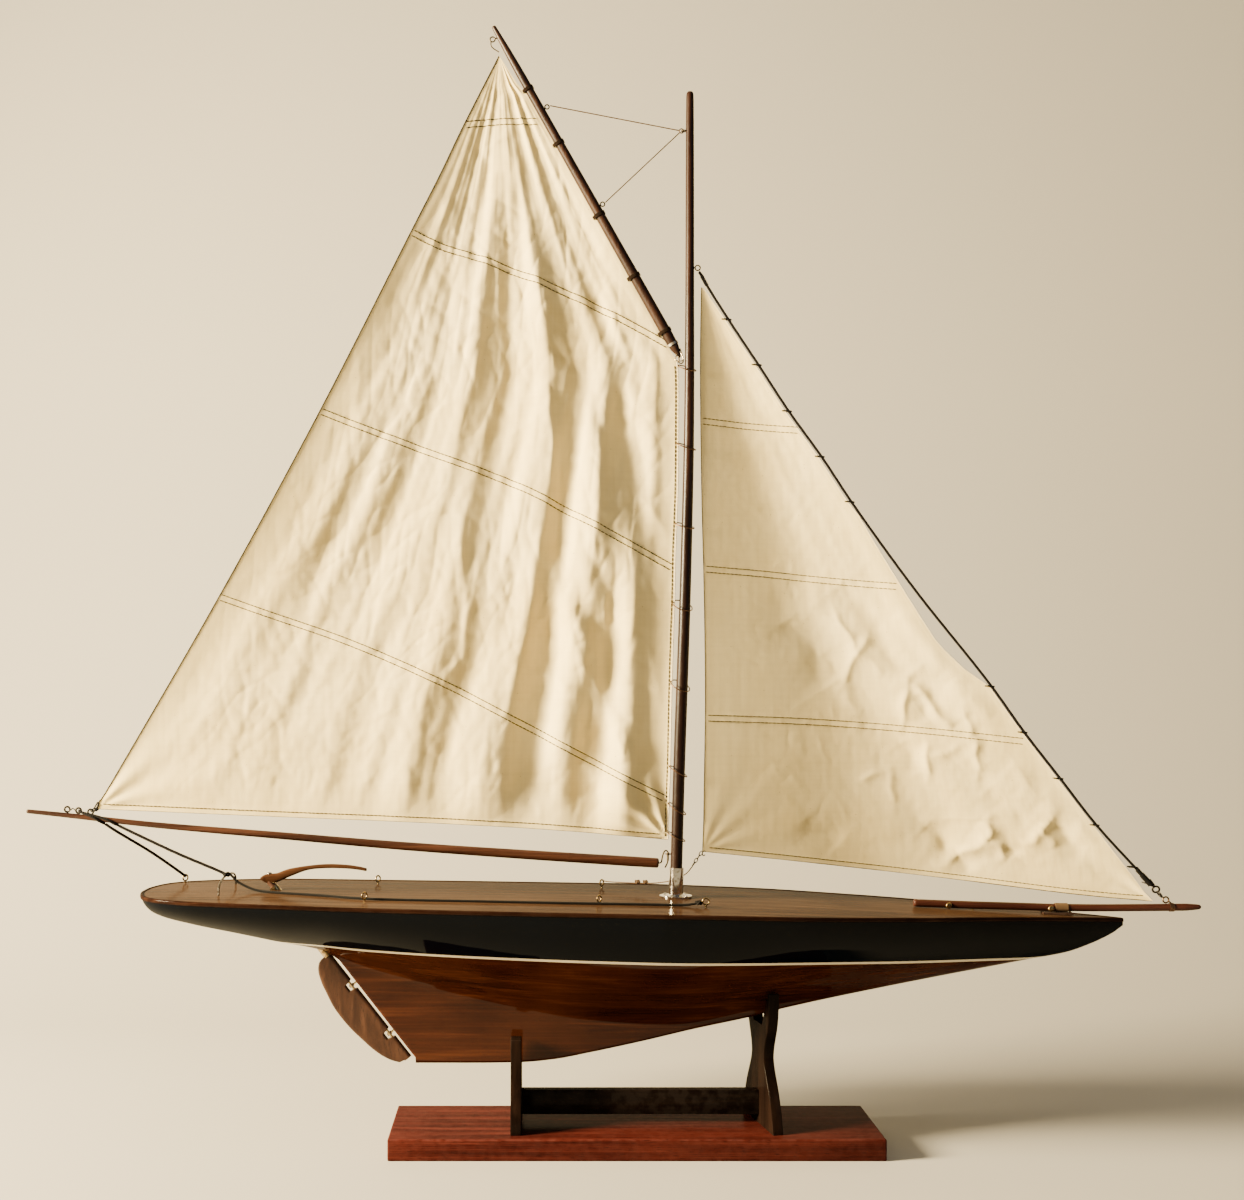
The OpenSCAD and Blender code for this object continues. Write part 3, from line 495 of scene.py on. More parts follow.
def fibre(name, first, second, sheen):
    s = Shader(name)
    hairs = s.noise(scale=1400, detail=3)
    s.surface({
        "Base Color": s.mix(s.between(hairs, low=0.35, high=0.7), first, second),
        "Roughness": 0.9, "Sheen Weight": sheen, "Specular IOR Level": 0.12,
        "Normal": s.bump(hairs, strength=0.4, distance=0.0003)})


def canvas(name, light, mid, dark):
    s = Shader(name)
    broad = s.noise(scale=7, detail=6, vector=s.coords((1, 1, 0.8)), Roughness=0.65)
    colour = s.ramp(broad, [(0.3, dark), (0.5, mid), (0.7, light)])
    # slubs along z, then along x: texture stretch and strength
    for stretch, strength in (((260, 1, 12), 0.16), ((10, 1, 300), 0.13)):
        slubs = s.noise(scale=1, detail=3, vector=s.coords(stretch))
        slubs = s.between(slubs, low=0.45, high=0.75)
        colour = s.mix(s.times(slubs, strength), colour, scaled(dark, 0.72))
    # small seed flecks left in unbleached cotton
    cells = s.node("TexVoronoi", {"Scale": 95, "Vector": s.coords((1, 0.01, 1))})
    flecks = s.math("LESS_THAN", cells.outputs["Distance"], 0.045)
    colour = s.mix(s.times(flecks, 0.55), colour, (0.30, 0.20, 0.10))
    threads = [s.wave(axis, s.coords(), {"Scale": 290, "Distortion": 0.8, "Detail": 1})
               for axis in "XZ"]
    weave = s.math("MAXIMUM", *threads)
    # darker between the threads: painted shade in the hollows of the weave
    painted_weave_shade = s.math("SUBTRACT", 1.0, weave)
    colour = s.mix(s.times(painted_weave_shade, 0.25), colour, scaled(mid, 0.6))
    s.surface({
        "Base Color": colour, "Roughness": 0.92, "Sheen Weight": 0.15,
        "Specular IOR Level": 0.15,
        "Normal": s.bump(weave, strength=0.35, distance=0.00025)})
    # a little light comes through the cloth
    through = s.node("BsdfTranslucent", {"Color": s.mix(0.5, colour, (0.95, 0.80, 0.55))})
    both = s.node("MixShader", {0: 0.07, 1: s.principled.outputs[0], 2: through.outputs[0]})
    s.put(s.output.inputs[0], both.outputs[0])


# woods: dark, middle and light tone
wood("base_mahogany", (0.013, 0.0022, 0.0018), (0.039, 0.0066, 0.0050),
     (0.083, 0.0170, 0.0120), grain=(5, 110, 190), coat=0.08, rough=0.45, coat_rough=0.25,
     pore=0.7, wear=0.6, bump=0.45)
wood("dark_stain", (0.0025, 0.0015, 0.0012), (0.0065, 0.0036, 0.0027),
     (0.018, 0.0095, 0.0065), grain=(60, 60, 6), coat=0.05, coat_rough=0.16, wear=0.35,
     bump=0.2, blotch=0.25)
wood("dark_stain_rail", (0.0022, 0.0014, 0.0012), (0.0052, 0.003, 0.0024),
     (0.014, 0.0075, 0.005), grain=(6, 60, 60), coat=0.05, coat_rough=0.16, wear=0.30,
     bump=0.2, blotch=0.12)
wood("hull_mahogany", (0.008, 0.0017, 0.0008), (0.025, 0.0060, 0.0024),
     (0.062, 0.018, 0.0065), grain=(5, 60, 95), coat=0.26, rough=0.38, coat_rough=0.045,
     ripple=0.07, bump=0.08)
wood("deck_mahogany", (0.018, 0.0085, 0.0045), (0.042, 0.0225, 0.0125),
     (0.078, 0.045, 0.026), grain=(5, 110, 60), coat=0.14, rough=0.45, coat_rough=0.15,
     pore=0.4, ripple=0.04, bump=0.12)
wood("covering_board_wood", (0.005, 0.0016, 0.0009), (0.0125, 0.0046, 0.0026),
     (0.027, 0.011, 0.006), grain=(8, 120, 120), coat=0.07, rough=0.45, coat_rough=0.18,
     wear=0.5)
wood("spar_wood", (0.0095, 0.0032, 0.0018), (0.030, 0.010, 0.0047), (0.074, 0.027, 0.013),
     grain=(5, 150, 150), coat=0.12, pore=0.45, wear=0.4, bump=0.25, spec=0.15)
wood("mast_wood", (0.0032, 0.0012, 0.0008), (0.0100, 0.0034, 0.0019),
     (0.028, 0.0098, 0.0054), grain=(170, 170, 5), coat=0.12, pore=0.45, wear=0.4,
     bump=0.25, spec=0.12)
wood("blade_wood", (0.012, 0.0046, 0.0028), (0.034, 0.0138, 0.0078), (0.075, 0.033, 0.019),
     grain=(60, 60, 14), coat=0.15, rough=0.5, coat_rough=0.3, pore=0.5, wear=0.6,
     bump=0.35, tilt=-38, spec=0.12)
wood("tiller_wood", (0.020, 0.0075, 0.003), (0.050, 0.0195, 0.0078), (0.095, 0.041, 0.017),
     grain=(9, 120, 120), coat=0.2, rough=0.4, coat_rough=0.15, pore=0.35, wear=0.3, spec=0.1)
wood("pale_wood", (0.33, 0.20, 0.10), (0.47, 0.31, 0.17), (0.60, 0.43, 0.26),
     grain=(60, 6, 60), coat=0.0, rough=0.7, coat_rough=0.08, spec=0.5)
wood("bowsprit_wood", (0.0085, 0.0024, 0.0016), (0.026, 0.0072, 0.0044),
     (0.062, 0.0195, 0.0115), grain=(5, 150, 150), coat=0.1, pore=0.45, wear=0.4,
     bump=0.25, spec=0.1)
wood("gaff_wood", (0.0055, 0.0023, 0.0014), (0.017, 0.0064, 0.0036),
     (0.043, 0.0175, 0.0095), grain=(150, 150, 5), coat=0.12, rough=0.45, coat_rough=0.22,
     pore=0.5, wear=0.4, bump=0.25, tilt=29.4, spec=0.15)
wood("pale_strap", (0.045, 0.026, 0.014), (0.085, 0.052, 0.028), (0.14, 0.090, 0.052),
     grain=(5, 90, 90), coat=0.08, rough=0.5, coat_rough=0.08, spec=0.05)

gloss_paint("topside_paint", (0.0003, 0.0008, 0.0018), (0.0006, 0.0016, 0.0036),
            rough=0.3, coat=0.14, spec=0.0)
gloss_paint("stripe_paint", (0.70, 0.64, 0.50), (0.52, 0.45, 0.33),
            rough=0.4, coat=0.3, spec=0.3)

# name, clean colour, dull colour, roughness of each, texture scale, bump strength
METALS = [
    ("chrome_fitting", (0.80, 0.78, 0.74), (0.50, 0.45, 0.39), (0.06, 0.28), 260, 0.05),
    ("steel_wire", (0.34, 0.31, 0.27), (0.13, 0.10, 0.075), (0.25, 0.55), 420, 0.3),
    ("pale_ferrule_metal", (0.62, 0.58, 0.50), (0.36, 0.31, 0.25), (0.28, 0.5), 320, 0.3),
    ("aged_brass", (0.56, 0.43, 0.22), (0.20, 0.13, 0.06), (0.2, 0.5), 380, 0.3),
    ("dark_bronze", (0.105, 0.080, 0.052), (0.040, 0.030, 0.021), (0.3, 0.6), 380, 0.35),
    ("brown_wire", (0.15, 0.085, 0.05), (0.055, 0.032, 0.02), (0.4, 0.65), 380, 0.3),
    ("ballast_lead", (0.20, 0.20, 0.21), (0.11, 0.11, 0.12), (0.5, 0.75), 90, 0.5),
    ("black_metal", (0.030, 0.027, 0.025), (0.012, 0.011, 0.010), (0.35, 0.6), 300, 0.3),
    ("dark_steel", (0.15, 0.13, 0.11), (0.05, 0.04, 0.032), (0.25, 0.5), 420, 0.3),
    ("eye_brass", (0.33, 0.235, 0.11), (0.11, 0.07, 0.03), (0.22, 0.5), 380, 0.3),
]
for row in METALS:
    metal(*row)

fibre("black_cord", (0.0015, 0.0013, 0.0013), (0.0065, 0.0055, 0.005), sheen=0.03)
fibre("brown_cord", (0.07, 0.035, 0.016), (0.17, 0.095, 0.045), sheen=0.15)
fibre("brown_thread", (0.006, 0.003, 0.0015), (0.020, 0.010, 0.0045), sheen=0.0)
fibre("luff_tape", (0.80, 0.72, 0.56), (0.66, 0.57, 0.42), sheen=0.1)
canvas("sailcloth", light=(0.93, 0.795, 0.43), mid=(0.88, 0.735, 0.37),
       dark=(0.79, 0.635, 0.29))

# ---------------------------------------------------------------- hull lines
BEAM_HALF = 104
WATERLINE = 183         # height of the stripe's middle at x = 0
WATERLINE_FALL = 0.0245  # drop of the waterline per mm towards the bow
STRIPE_HEIGHT = 2.4
SHELL_THICK = 1.2
DECK_THICK = 3.0
DECK_GAP = 0.15         # between the deck's underside and the shell's top edge
CAMBER = 2.3
STERN_X, BOW_X = -457.0, 458.0
WIDEST_X = 20
# the straight raked part of the keel line
RAKE_TOP_X, RAKE_TOP_Z = -275, 171
RAKE_FOOT_X, RAKE_FOOT_Z = -203.5, 79.8

# x, height of the deck edge
SHEER = [(-457, 236.6), (-350, 235.6), (-244, 233.3), (-100, 230.6), (40, 228), (215, 222),
         (319, 217.6), (431, 212), (458, 210.2)]
# x, square of the plan width aft of the widest point, as part of the beam's
PLAN_AFT = [(-457, 0.01), (-445, 0.232), (-425, 0.42), (-390, 0.6), (-330, 0.77),
            (-244, 0.885), (-120, 0.968), (20, 1)]
# x, plan width forward of the widest point, as part of the beam
PLAN_FORWARD = [(20, 1), (130, 0.925), (215, 0.755), (262, 0.635), (319, 0.445),
                (380, 0.255), (431, 0.1), (458, 0.012)]
# x, height of the keel line
KEEL_AFT = [(-457, 231), (-453, 225.1), (-442, 215.5), (-431, 210.1), (-407, 205.4),
            (-365, 196.2), (-332, 188.6), (-289.5, 179.9), (-275, 171)]
KEEL_FORWARD = [(-203.5, 74.9), (-143, 75.1), (-104, 75.9), (-73, 78.9), (-43, 84.7),
                (7, 95.5), (57, 107.2), (109, 118.2), (140, 126.1), (250, 149.1),
                (370, 172), (405, 178.5), (427, 186.1), (448.5, 196.5), (458, 203.5)]
# x, bottom of the round body above the fin
BODY_BOTTOM = [(-457, 231), (-442, 215.5), (-407, 205.4), (-365, 196.2), (-332, 188.6),
               (-289.5, 179), (-240, 160), (-200, 146), (-150, 131), (-100, 118.5),
               (-43, 108), (32, 104), (109, 118.2), (140, 126.1), (250, 149.1), (370, 172),
               (405, 178.5), (427, 186.1), (448.5, 196.5), (458, 203.5)]
# x, exponent of the section: larger is sharper
SECTION_POWER = [(-457, 0.6), (-332, 0.8), (-275, 1.15), (-200, 1.5), (-100, 1.6),
                 (32, 1.55), (121, 1.6), (250, 1.05), (370, 0.72), (458, 0.6)]
# x, half thickness of the fin
FIN_HALF = [(-457, 1.6), (-332, 3), (-275, 5), (-203, 7.5), (0, 10.5), (109, 8.5),
            (250, 4.6), (370, 3), (458, 1.5)]


def sheer_z(x):
    return fair(SHEER, x)


def keel_z(x):
    x = np.asarray(x, float)
    raked = (RAKE_TOP_Z - (x - RAKE_TOP_X) * (RAKE_TOP_Z - RAKE_FOOT_Z)
             / (RAKE_FOOT_X - RAKE_TOP_X))
    forward = fair(KEEL_FORWARD, np.maximum(x, RAKE_FOOT_X))
    return np.where(x < RAKE_TOP_X, fair(KEEL_AFT, np.minimum(x, RAKE_TOP_X)),
                    np.where(x < RAKE_FOOT_X, raked, forward))


def plan_half(x):
    x = np.asarray(x, float)
    aft = np.sqrt(np.maximum(0, fair(PLAN_AFT, np.minimum(x, WIDEST_X))))
    return BEAM_HALF * np.where(x < WIDEST_X, aft, fair(PLAN_FORWARD, np.maximum(x, WIDEST_X)))


def half_width(x, z):
    """the round body blended into the fin"""
    u = np.clip((sheer_z(x) - z) / (sheer_z(x) - fair(BODY_BOTTOM, x)), 0, 1)
    body = plan_half(x) * np.power(np.maximum(0, 1 - u * u), fair(SECTION_POWER, x))
    return np.power(np.power(body, 1.6) + np.power(fair(FIN_HALF, x), 1.6), 0.625)


def deck_half(x):
    return half_width(x, sheer_z(x))


def deck_z(x, y):
    half = deck_half(x)
    rise = CAMBER * (half / 106) ** 2 * (1 - np.minimum(1, np.abs(y) / half) ** 2)
    return sheer_z(x) + rise


def hull_skin():
    """outer surface: each row runs from port sheer round the keel to starboard sheer"""
    spread = 1 - np.cos(np.linspace(0, 1, 60) * math.pi / 2)
    stations = np.r_[STERN_X + (RAKE_TOP_X - STERN_X) * spread,
                     np.linspace(RAKE_TOP_X, -203.55, 26)[1:], [-203.2],
                     np.linspace(-203, 430, 170), np.linspace(430, BOW_X, 22)[1:]]
    n = 56
    even = np.linspace(0, 1, n)
    # a mix of even and keel-crowded spacing
    depth = 0.5 * np.sin(even * math.pi / 2) + 0.5 * even
    rows = []
    for x in stations:
        top, keel = sheer_z(x) - (DECK_THICK + DECK_GAP), float(keel_z(x))
        z = top - (top - keel) * depth
        round_r = min(4.0, 0.2 * (top - keel))
        q = np.clip((keel + round_r - z) / round_r, 0, 1)
        y = half_width(x, z) * np.sqrt(np.maximum(0, 1 - q ** 2))
        y[-1] = 0
        port = np.stack([np.full(n, x), y, z], 1)
        starboard = port[::-1][1:].copy()
        starboard[:, 1] *= -1
        rows.append(np.concatenate([port, starboard]))
    rows = np.array(rows)
    count, m = rows.shape[:2]
    faces = [(i * m + k, (i + 1) * m + k, (i + 1) * m + k + 1, i * m + k + 1)
             for i in range(count - 1) for k in range(m - 1)]
    # close the two ends with a strip between port and starboard
    for i in (0, count - 1):
        for k in range(m // 2):
            a, b = i * m + k, i * m + m - 1 - k
            quad = (a, a + 1, b - 1, b) if i == 0 else (a, b, b - 1, a + 1)
            faces.append(tuple(dict.fromkeys(quad)))
    return rows.reshape(-1, 3), faces


def cut(bm, level, keep_above):
    """cut parallel to the waterline; level is the height at x = 0"""
    bmesh.ops.bisect_plane(
        bm, geom=bm.verts[:] + bm.edges[:] + bm.faces[:], plane_co=Vector((0, 0, level * MM)),
        plane_no=Vector((WATERLINE_FALL, 0, 1)).normalized(), clear_inner=keep_above,
        clear_outer=not keep_above, dist=1e-7)


def hull_piece(name, low, high, material, replaces):
    verts, faces = hull_skin()
    mesh = bpy.data.meshes.new(name)
    mesh.from_pydata([tuple(p) for p in verts * MM], [], faces)
    bm = bmesh.new()
    bm.from_mesh(mesh)
    bmesh.ops.remove_doubles(bm, verts=bm.verts[:], dist=1e-6)
    if low is not None:
        cut(bm, low, True)
    if high is not None:
        cut(bm, high, False)
    bmesh.ops.recalc_face_normals(bm, faces=bm.faces[:])
    # make normals point outwards
    outward = 0
    for face in bm.faces:
        y = face.calc_center_median().y
        if abs(y) > 0.02:
            outward += face.normal.y * (1 if y > 0 else -1)
    if outward < 0:
        bmesh.ops.reverse_faces(bm, faces=bm.faces[:])
    bm.to_mesh(mesh)
    bm.free()
    mesh.materials.append(materials[material])
    ob = bpy.data.objects.new(name, mesh)
    collection.objects.link(ob)
    smooth_faces(mesh)
    shell = ob.modifiers.new("shell", "SOLIDIFY")
    shell.thickness = SHELL_THICK * MM
    shell.offset = -1
    shell.use_even_offset = True
    shell.thickness_clamp = 0.8
    depsgraph = bpy.context.evaluated_depsgraph_get()
    solid = bpy.data.meshes.new_from_object(ob.evaluated_get(depsgraph))
    ob.modifiers.clear()
    ob.data = solid
    sharp_by_angle(solid, 50)
    register(ob, "hull", replaces)


stripe_low, stripe_high = WATERLINE - STRIPE_HEIGHT / 2, WATERLINE + STRIPE_HEIGHT / 2
hull_piece("hull_upper_shell", stripe_high, None, "topside_paint",
           ("hull_topsides", "bow_block", "stern_block"))
hull_piece("hull_waterline_stripe", stripe_low, stripe_high, "stripe_paint", ("boot_stripe",))
hull_piece("hull_lower_shell", None, stripe_low, "hull_mahogany", ("hull_bottom",))


def deck_plate():
    aft_x, length, inset, columns = -454.6, 907.2, 2.75, 33
    top, bottom = [], []
    for x in aft_x + length * (1 - np.cos(math.pi * np.linspace(0, 1, 170))) / 2:
        half = max(deck_half(x) - inset, 0.35)
        y = half * np.sin(np.linspace(-1, 1, columns) * math.pi / 2)
        z = deck_z(x, y)
        top.append(np.stack([np.full(columns, x), y, z + 0.02], 1))
        bottom.append(np.stack([np.full(columns, x), y, z - DECK_THICK], 1))
    mesh_object("deck_plate", skin_geo(top, bottom), "deck_mahogany", "hull",
                replaces=("deck",), sharp=40, recalc=True)


# section of the covering board: outward from the deck edge, up from the sheer
COVERING_SECTION = [(-2.4, 0.25), (-2.2, 0.55), (-1.2, 0.72), (-0.1, 0.6), (0.55, 0.25),
                    (0.85, -0.5), (0.85, -1.9), (0.6, -2.7), (0.0, -3.0), (-2.4, -3.0)]
COVERING_BOW_X = 458.2  # the moulding is cut off here


def covering_board():
    """one moulding from the stem down each side and round the stern"""
    xs = STERN_X + (BOW_X - STERN_X) * (1 - np.cos(np.linspace(0, 1, 600) * math.pi / 2))
    port = np.stack([xs, deck_half(xs)], 1)[::-1]
    path = np.concatenate([port, [[STERN_X, 0.0]], port[::-1] * vec(1, -1)])
    path, _ = resample(path, 2.2)
    kernel = np.ones(5) / 5
    path[2:-2] = np.stack([np.convolve(path[:, j], kernel, "valid") for j in (0, 1)], 1)
    tangent = np.gradient(path, axis=0)
    tangent /= np.linalg.norm(tangent, axis=1)[:, None]
    outward = np.stack([tangent[:, 1], -tangent[:, 0]], 1)
    rings, sides = len(path), len(COVERING_SECTION)
    verts = []
    for i, ((x, y), (out_x, out_y)) in enumerate(zip(path, outward)):
        side = 1.0 if i < rings / 2 else -1.0
        for out, up in COVERING_SECTION:
            # never across the centreline
            verts.append((min(x + out_x * out, COVERING_BOW_X),
                          side * max(0.0, side * (y + out_y * out)), float(sheer_z(x)) + up))
    faces = loft_faces(rings, sides)
    faces += [tuple(range(sides)), tuple((rings - 1) * sides + k for k in range(sides))]
    mesh_object("covering_board_rail", (np.array(verts), faces), "covering_board_wood",
                "hull", replaces=("covering_boards",), recalc=True)


deck_plate()
covering_board()

# ---------------------------------------------------------------- stand
BASE_HALF_LENGTH, BASE_HALF_WIDTH, BASE_THICK = 225.0, 57.0, 19.6
UPRIGHT_THICK, UPRIGHT_FOOT_HALF = 10, 45
AFT_UPRIGHT_X, FORWARD_UPRIGHT_X = -109.3, 121.3
FORWARD_UPRIGHT_TURN = math.radians(9.8)  # about the vertical
WAIST_Z = 84                              # narrowest height of the forward upright
# port half of each upright: y, z
AFT_UPRIGHT = [(UPRIGHT_FOOT_HALF, BASE_THICK), (44, 33), (39, 48), (34.5, 66), (32.5, 84),
               (32, 103.5), (15, 103.5), (11.6, 75.5)]
FORWARD_NOTCH = [(33.5, 146), (31.2, 146), (24.2, 134.6), (16.7, 122.4), (12.2, 113.2)]


def mirrored(half):
    """whole outline from its port half, starting at the starboard foot"""
    whole = [(-y, z) for y, z in half]
    return whole[:1] + half + whole[:0:-1]


def base_board():
    length, width = BASE_HALF_LENGTH, BASE_HALF_WIDTH
    outline = [(-length, -width), (length, -width), (length, width), (-length, width)]
    board = prism_geo(outline, BASE_THICK, lambda p, t: (p[0], p[1], BASE_THICK / 2 + t))
    bevelled_object("base_board", board, "base_mahogany", "stand", 1.6, 3, ("base_plank",))


def aft_upright():
    upright = prism_geo(mirrored(AFT_UPRIGHT), UPRIGHT_THICK,
                        lambda p, t: (AFT_UPRIGHT_X + t, p[0], p[1]))
    bevelled_object("cradle_upright_aft", upright, "dark_stain", "stand", 0.9, 3,
                    ("stand_upright_aft",))


def forward_upright():
    side = []
    for i in range(41):
        z = 24 + i * 3
        flare = 13.5 * max(0, (WAIST_Z - z) / 64) ** 1.2
        waist = 13.5 * math.exp(-((z - WAIST_Z) / 26) ** 2)
        side.append((31.5 + flare - waist + 2 * max(0, z - WAIST_Z) / 62, z))
    outline = mirrored([(UPRIGHT_FOOT_HALF, BASE_THICK)] + side + FORWARD_NOTCH)
    cos, sin = math.cos(FORWARD_UPRIGHT_TURN), math.sin(FORWARD_UPRIGHT_TURN)
    upright = prism_geo(outline, UPRIGHT_THICK, lambda p, t: (
        FORWARD_UPRIGHT_X + t * cos - p[0] * sin, t * sin + p[0] * cos, p[1]))
    bevelled_object("cradle_upright_fwd", upright, "dark_stain", "stand", 0.9, 3,
                    ("stand_upright_fwd",))


def cradle_rail():
    aft_x, forward_x, half_width_y, skew, height, mid_z = -104.2, 116.1, 5, 0.86, 23, 39.5
    outline = [(aft_x, -half_width_y), (forward_x + skew, -half_width_y),
               (forward_x - skew, half_width_y), (aft_x, half_width_y)]
    rail = prism_geo(outline, height, lambda p, t: (p[0], p[1], mid_z + t))
    bevelled_object("cradle_rail", rail, "dark_stain_rail", "stand", 0.7, 2,
                    ("stand_rail",))


base_board()
aft_upright()
forward_upright()
cradle_rail()

# ---------------------------------------------------------------- spars
MAST_X = 40             # where the mast's foot meets the deck
# z, x of the mast's middle
MAST_LINE = [(232.5, 39.6), (275.2, 40.9), (339.8, 42.7), (508, 48.5), (564.5, 50.1),
             (660, 52.2), (738.7, 52.9), (984.6, 53.2)]
# z, radius
MAST_RADII = [(232.5, 5.6), (340, 5.6), (508, 5.32), (621, 4.984), (738.7, 4.45),
              (800, 4.15), (930, 3.85), (976, 3.6), (982, 3.35), (984.6, 2.6)]
# x, z of the boom's middle
BOOM_LINE = [(-568.2, 310.6), (-529, 306.6), (-450, 297.9), (-331, 287.8), (-213, 277.8),
             (-94, 269.5), (24, 262)]
# x, radius
BOOM_RADII = [(-568.2, 1.5), (-567, 1.95), (-529, 2.35), (-450, 2.75), (-390, 3.1),
              (-331, 3.4), (-213, 3.95), (-94, 4.45), (0, 4.7), (22.6, 4.6), (24, 3.8)]
# x, z of the bowsprit's middle
SPRIT_LINE = [(262.6, 224.8), (316, 222.8), (357, 221.6), (397, 220.5), (437, 220.1),
              (477, 220.3), (531.6, 220.9)]
# x, radius
SPRIT_RADII = [(262.6, 3.6), (330, 3.6), (397, 3.45), (517, 3.4), (525, 2.85),
               (530, 2.25), (531.6, 1.5)]
gaff_foot, gaff_peak = vec(44, 0, 735.6), vec(-131, 0, 1045.8)
gaff_length = np.linalg.norm(gaff_peak - gaff_foot)
gaff_up = (gaff_peak - gaff_foot) / gaff_length
gaff_side = vec(gaff_up[2], 0, -gaff_up[0])  # square to the gaff, forward and up
# distance from the foot, radius
GAFF_RADII = [(0, 0.9), (4, 2.4), (10, 4.3), (18, 5.0), (30, 5.1), (88, 4.92), (160, 4.62),
              (230, 4.18), (300, 3.95), (325, 3.42), (345, 2.55), (gaff_length - 1.2, 2.1),
              (gaff_length, 1.4)]


def boom_z(x):
    return float(fair(BOOM_LINE, x))


def boom_radius(x):
    return float(linear(BOOM_RADII, x))


def gaff_radius(distance):
    return float(linear(GAFF_RADII, distance))


def round_ends(radii, start, end):
    radii[:len(start)] = start
    radii[-len(end):] = end


def spar(name, points, radii, material, body, replaces, sides):
    mesh_object(name, sweep_geo(points, radii, sides), material, body, replaces=replaces,
                sharp=60)


def mast():
    heights = np.r_[np.linspace(float(deck_z(MAST_X, 0)) + 2.4, 976, 130),
                    [978.5, 981, 982.6, 983.6, 984.3, 984.6]]
    radii = fair(MAST_RADII, heights)
    round_ends(radii, [], [2.75, 2.0, 1.0])
    points = [(float(fair(MAST_LINE, z)), 0, z) for z in heights]
    spar("mast_spar", points, radii, "mast_wood", "hull", ("mast",), 36)


def boom():
    xs = np.r_[[-568.2, -567.9, -567.3, -566.4], np.linspace(-564, 20, 170),
               [21.6, 22.6, 23.3, 23.7, 24.0]]
    radii = linear(BOOM_RADII, xs)
    round_ends(radii, [0.8, 1.35, 1.8], [4.55, 4.25, 3.7, 2.7])
    spar("boom_spar", [(x, 0, boom_z(x)) for x in xs], radii, "spar_wood", "boom",
         ("boom",), 36)


def gaff():
    distances = np.r_[[0, 1, 2.5, 4, 6, 8, 10, 13, 18], np.linspace(24, gaff_length - 3, 90),
                      gaff_length - vec(1.5, 0.8, 0.3, 0)]
    radii = linear(GAFF_RADII, distances)
    round_ends(radii, [0.7, 1.3], [1.9, 1.45, 0.7])
    radii[2:-4] = np.convolve(radii, np.array([1, 2, 1]) / 4.0, "same")[2:-4]
    spar("gaff_spar", [gaff_foot + gaff_up * d for d in distances], radii, "gaff_wood",
         "gaff", ("gaff",), 32)


def bowsprit():
    xs = np.r_[[262.6, 262.9, 263.5, 264.6], np.linspace(267, 526, 90),
               [528, 529.6, 530.6, 531.3, 531.6]]
    radii = linear(SPRIT_RADII, xs)
    round_ends(radii, [2.5, 3.1, 3.45], [1.4, 0.7])
    spar("bowsprit_spar", [(x, 0, float(fair(SPRIT_LINE, x))) for x in xs], radii,
         "bowsprit_wood", "hull", ("bowsprit",), 32)


mast()
boom()
gaff()
bowsprit()

# ---------------------------------------------------------------- rudder and tiller
rudder_head = vec(-336.4, 0, 239.6)
rudder_up = unit(vec(-0.6195, 0, 0.785))
rudder_forward = vec(rudder_up[2], 0, -rudder_up[0])
# trailing edge of the blade: x, z
BLADE_TRAIL = [(-292, 172), (-294.2, 168.5), (-295, 163), (-294.2, 157.4), (-291.6, 149.5),
               (-287.2, 140.3), (-281, 128), (-273.2, 117.1), (-263.5, 106), (-253, 96.1),
               (-244, 88), (-234.4, 81.3), (-225, 77), (-215.7, 75.4), (-213.4, 78.5)]
BLADE_FOOT = 203.5      # distance down the rudder's axis
BLADE_HALF = 3.2        # half thickness at the axis, and reach ahead of it
NOTCHES = (117.4, 174.6)  # distances down the axis of the notches in the leading edge
NOTCH_HALF, NOTCH_SHOULDER, NOTCH_DEPTH = 3.6, 5.0, 3.9


def blade_lead(down):
    """where the leading edge lies, aft of the axis"""
    away = min(abs(down - notch) for notch in NOTCHES)
    if away < NOTCH_HALF:
        return NOTCH_DEPTH
    if away < NOTCH_SHOULDER:
        part = (away - NOTCH_HALF) / (NOTCH_SHOULDER - NOTCH_HALF)
        return -BLADE_HALF + (NOTCH_DEPTH + BLADE_HALF) * (1 - part ** 0.5)
    return -BLADE_HALF


def rudder_blade():
    # outline as (distance down the axis, distance aft of it)
    points = np.array([(x, 0, z) for x, z in BLADE_TRAIL]) - rudder_head
    trail = catmull(np.stack([-points @ rudder_up, -points @ rudder_forward], 1), 6)
    trail = trail[np.argsort(trail[:, 0])]
    downs = np.linspace(trail[0, 0] + 0.2, BLADE_FOOT, 200)
    chords = np.interp(downs, trail[:, 0], trail[:, 1])
    chords[-1] = max(0.8, chords[-1])
    spread = 0.5 - 0.5 * np.cos(math.pi * np.linspace(0, 1, 22))
    port, starboard = [], []
    for down, chord in zip(downs, chords):
        lead = blade_lead(down)
        end = max(chord, lead + 1.2)
        aft = lead + (end - lead) * spread
        nose = BLADE_HALF * np.sqrt(np.clip(1 - ((aft + 0.2) / BLADE_HALF) ** 2, 0.02, 1))
        body = BLADE_HALF - 1.9 * (np.clip(aft, 0, None) / 34) ** 1.3
        thick = nose * (aft < 0) + (aft >= 0) * body
        edge = np.clip((end - aft) / 2.2, 0.0, 1)
        thick = np.maximum(0.25, thick * np.sqrt(np.clip(edge * (2 - edge), 0.01, 1)))
        if lead > 0:
            edge = np.clip((aft - lead) / 1.6, 0, 1)
            thick = np.maximum(0.25, thick * np.sqrt(np.clip(edge * (2 - edge), 0.05, 1)))
        centre = (rudder_head - rudder_up * down)[None, :] - rudder_forward * aft[:, None]
        port.append(centre + vec(0, 1, 0) * thick[:, None])
        starboard.append(centre - vec(0, 1, 0) * thick[:, None])
    mesh_object("rudder_board", skin_geo(port, starboard), "blade_wood", "rudder",
                replaces=("rudder_blade",), sharp=45, recalc=True)


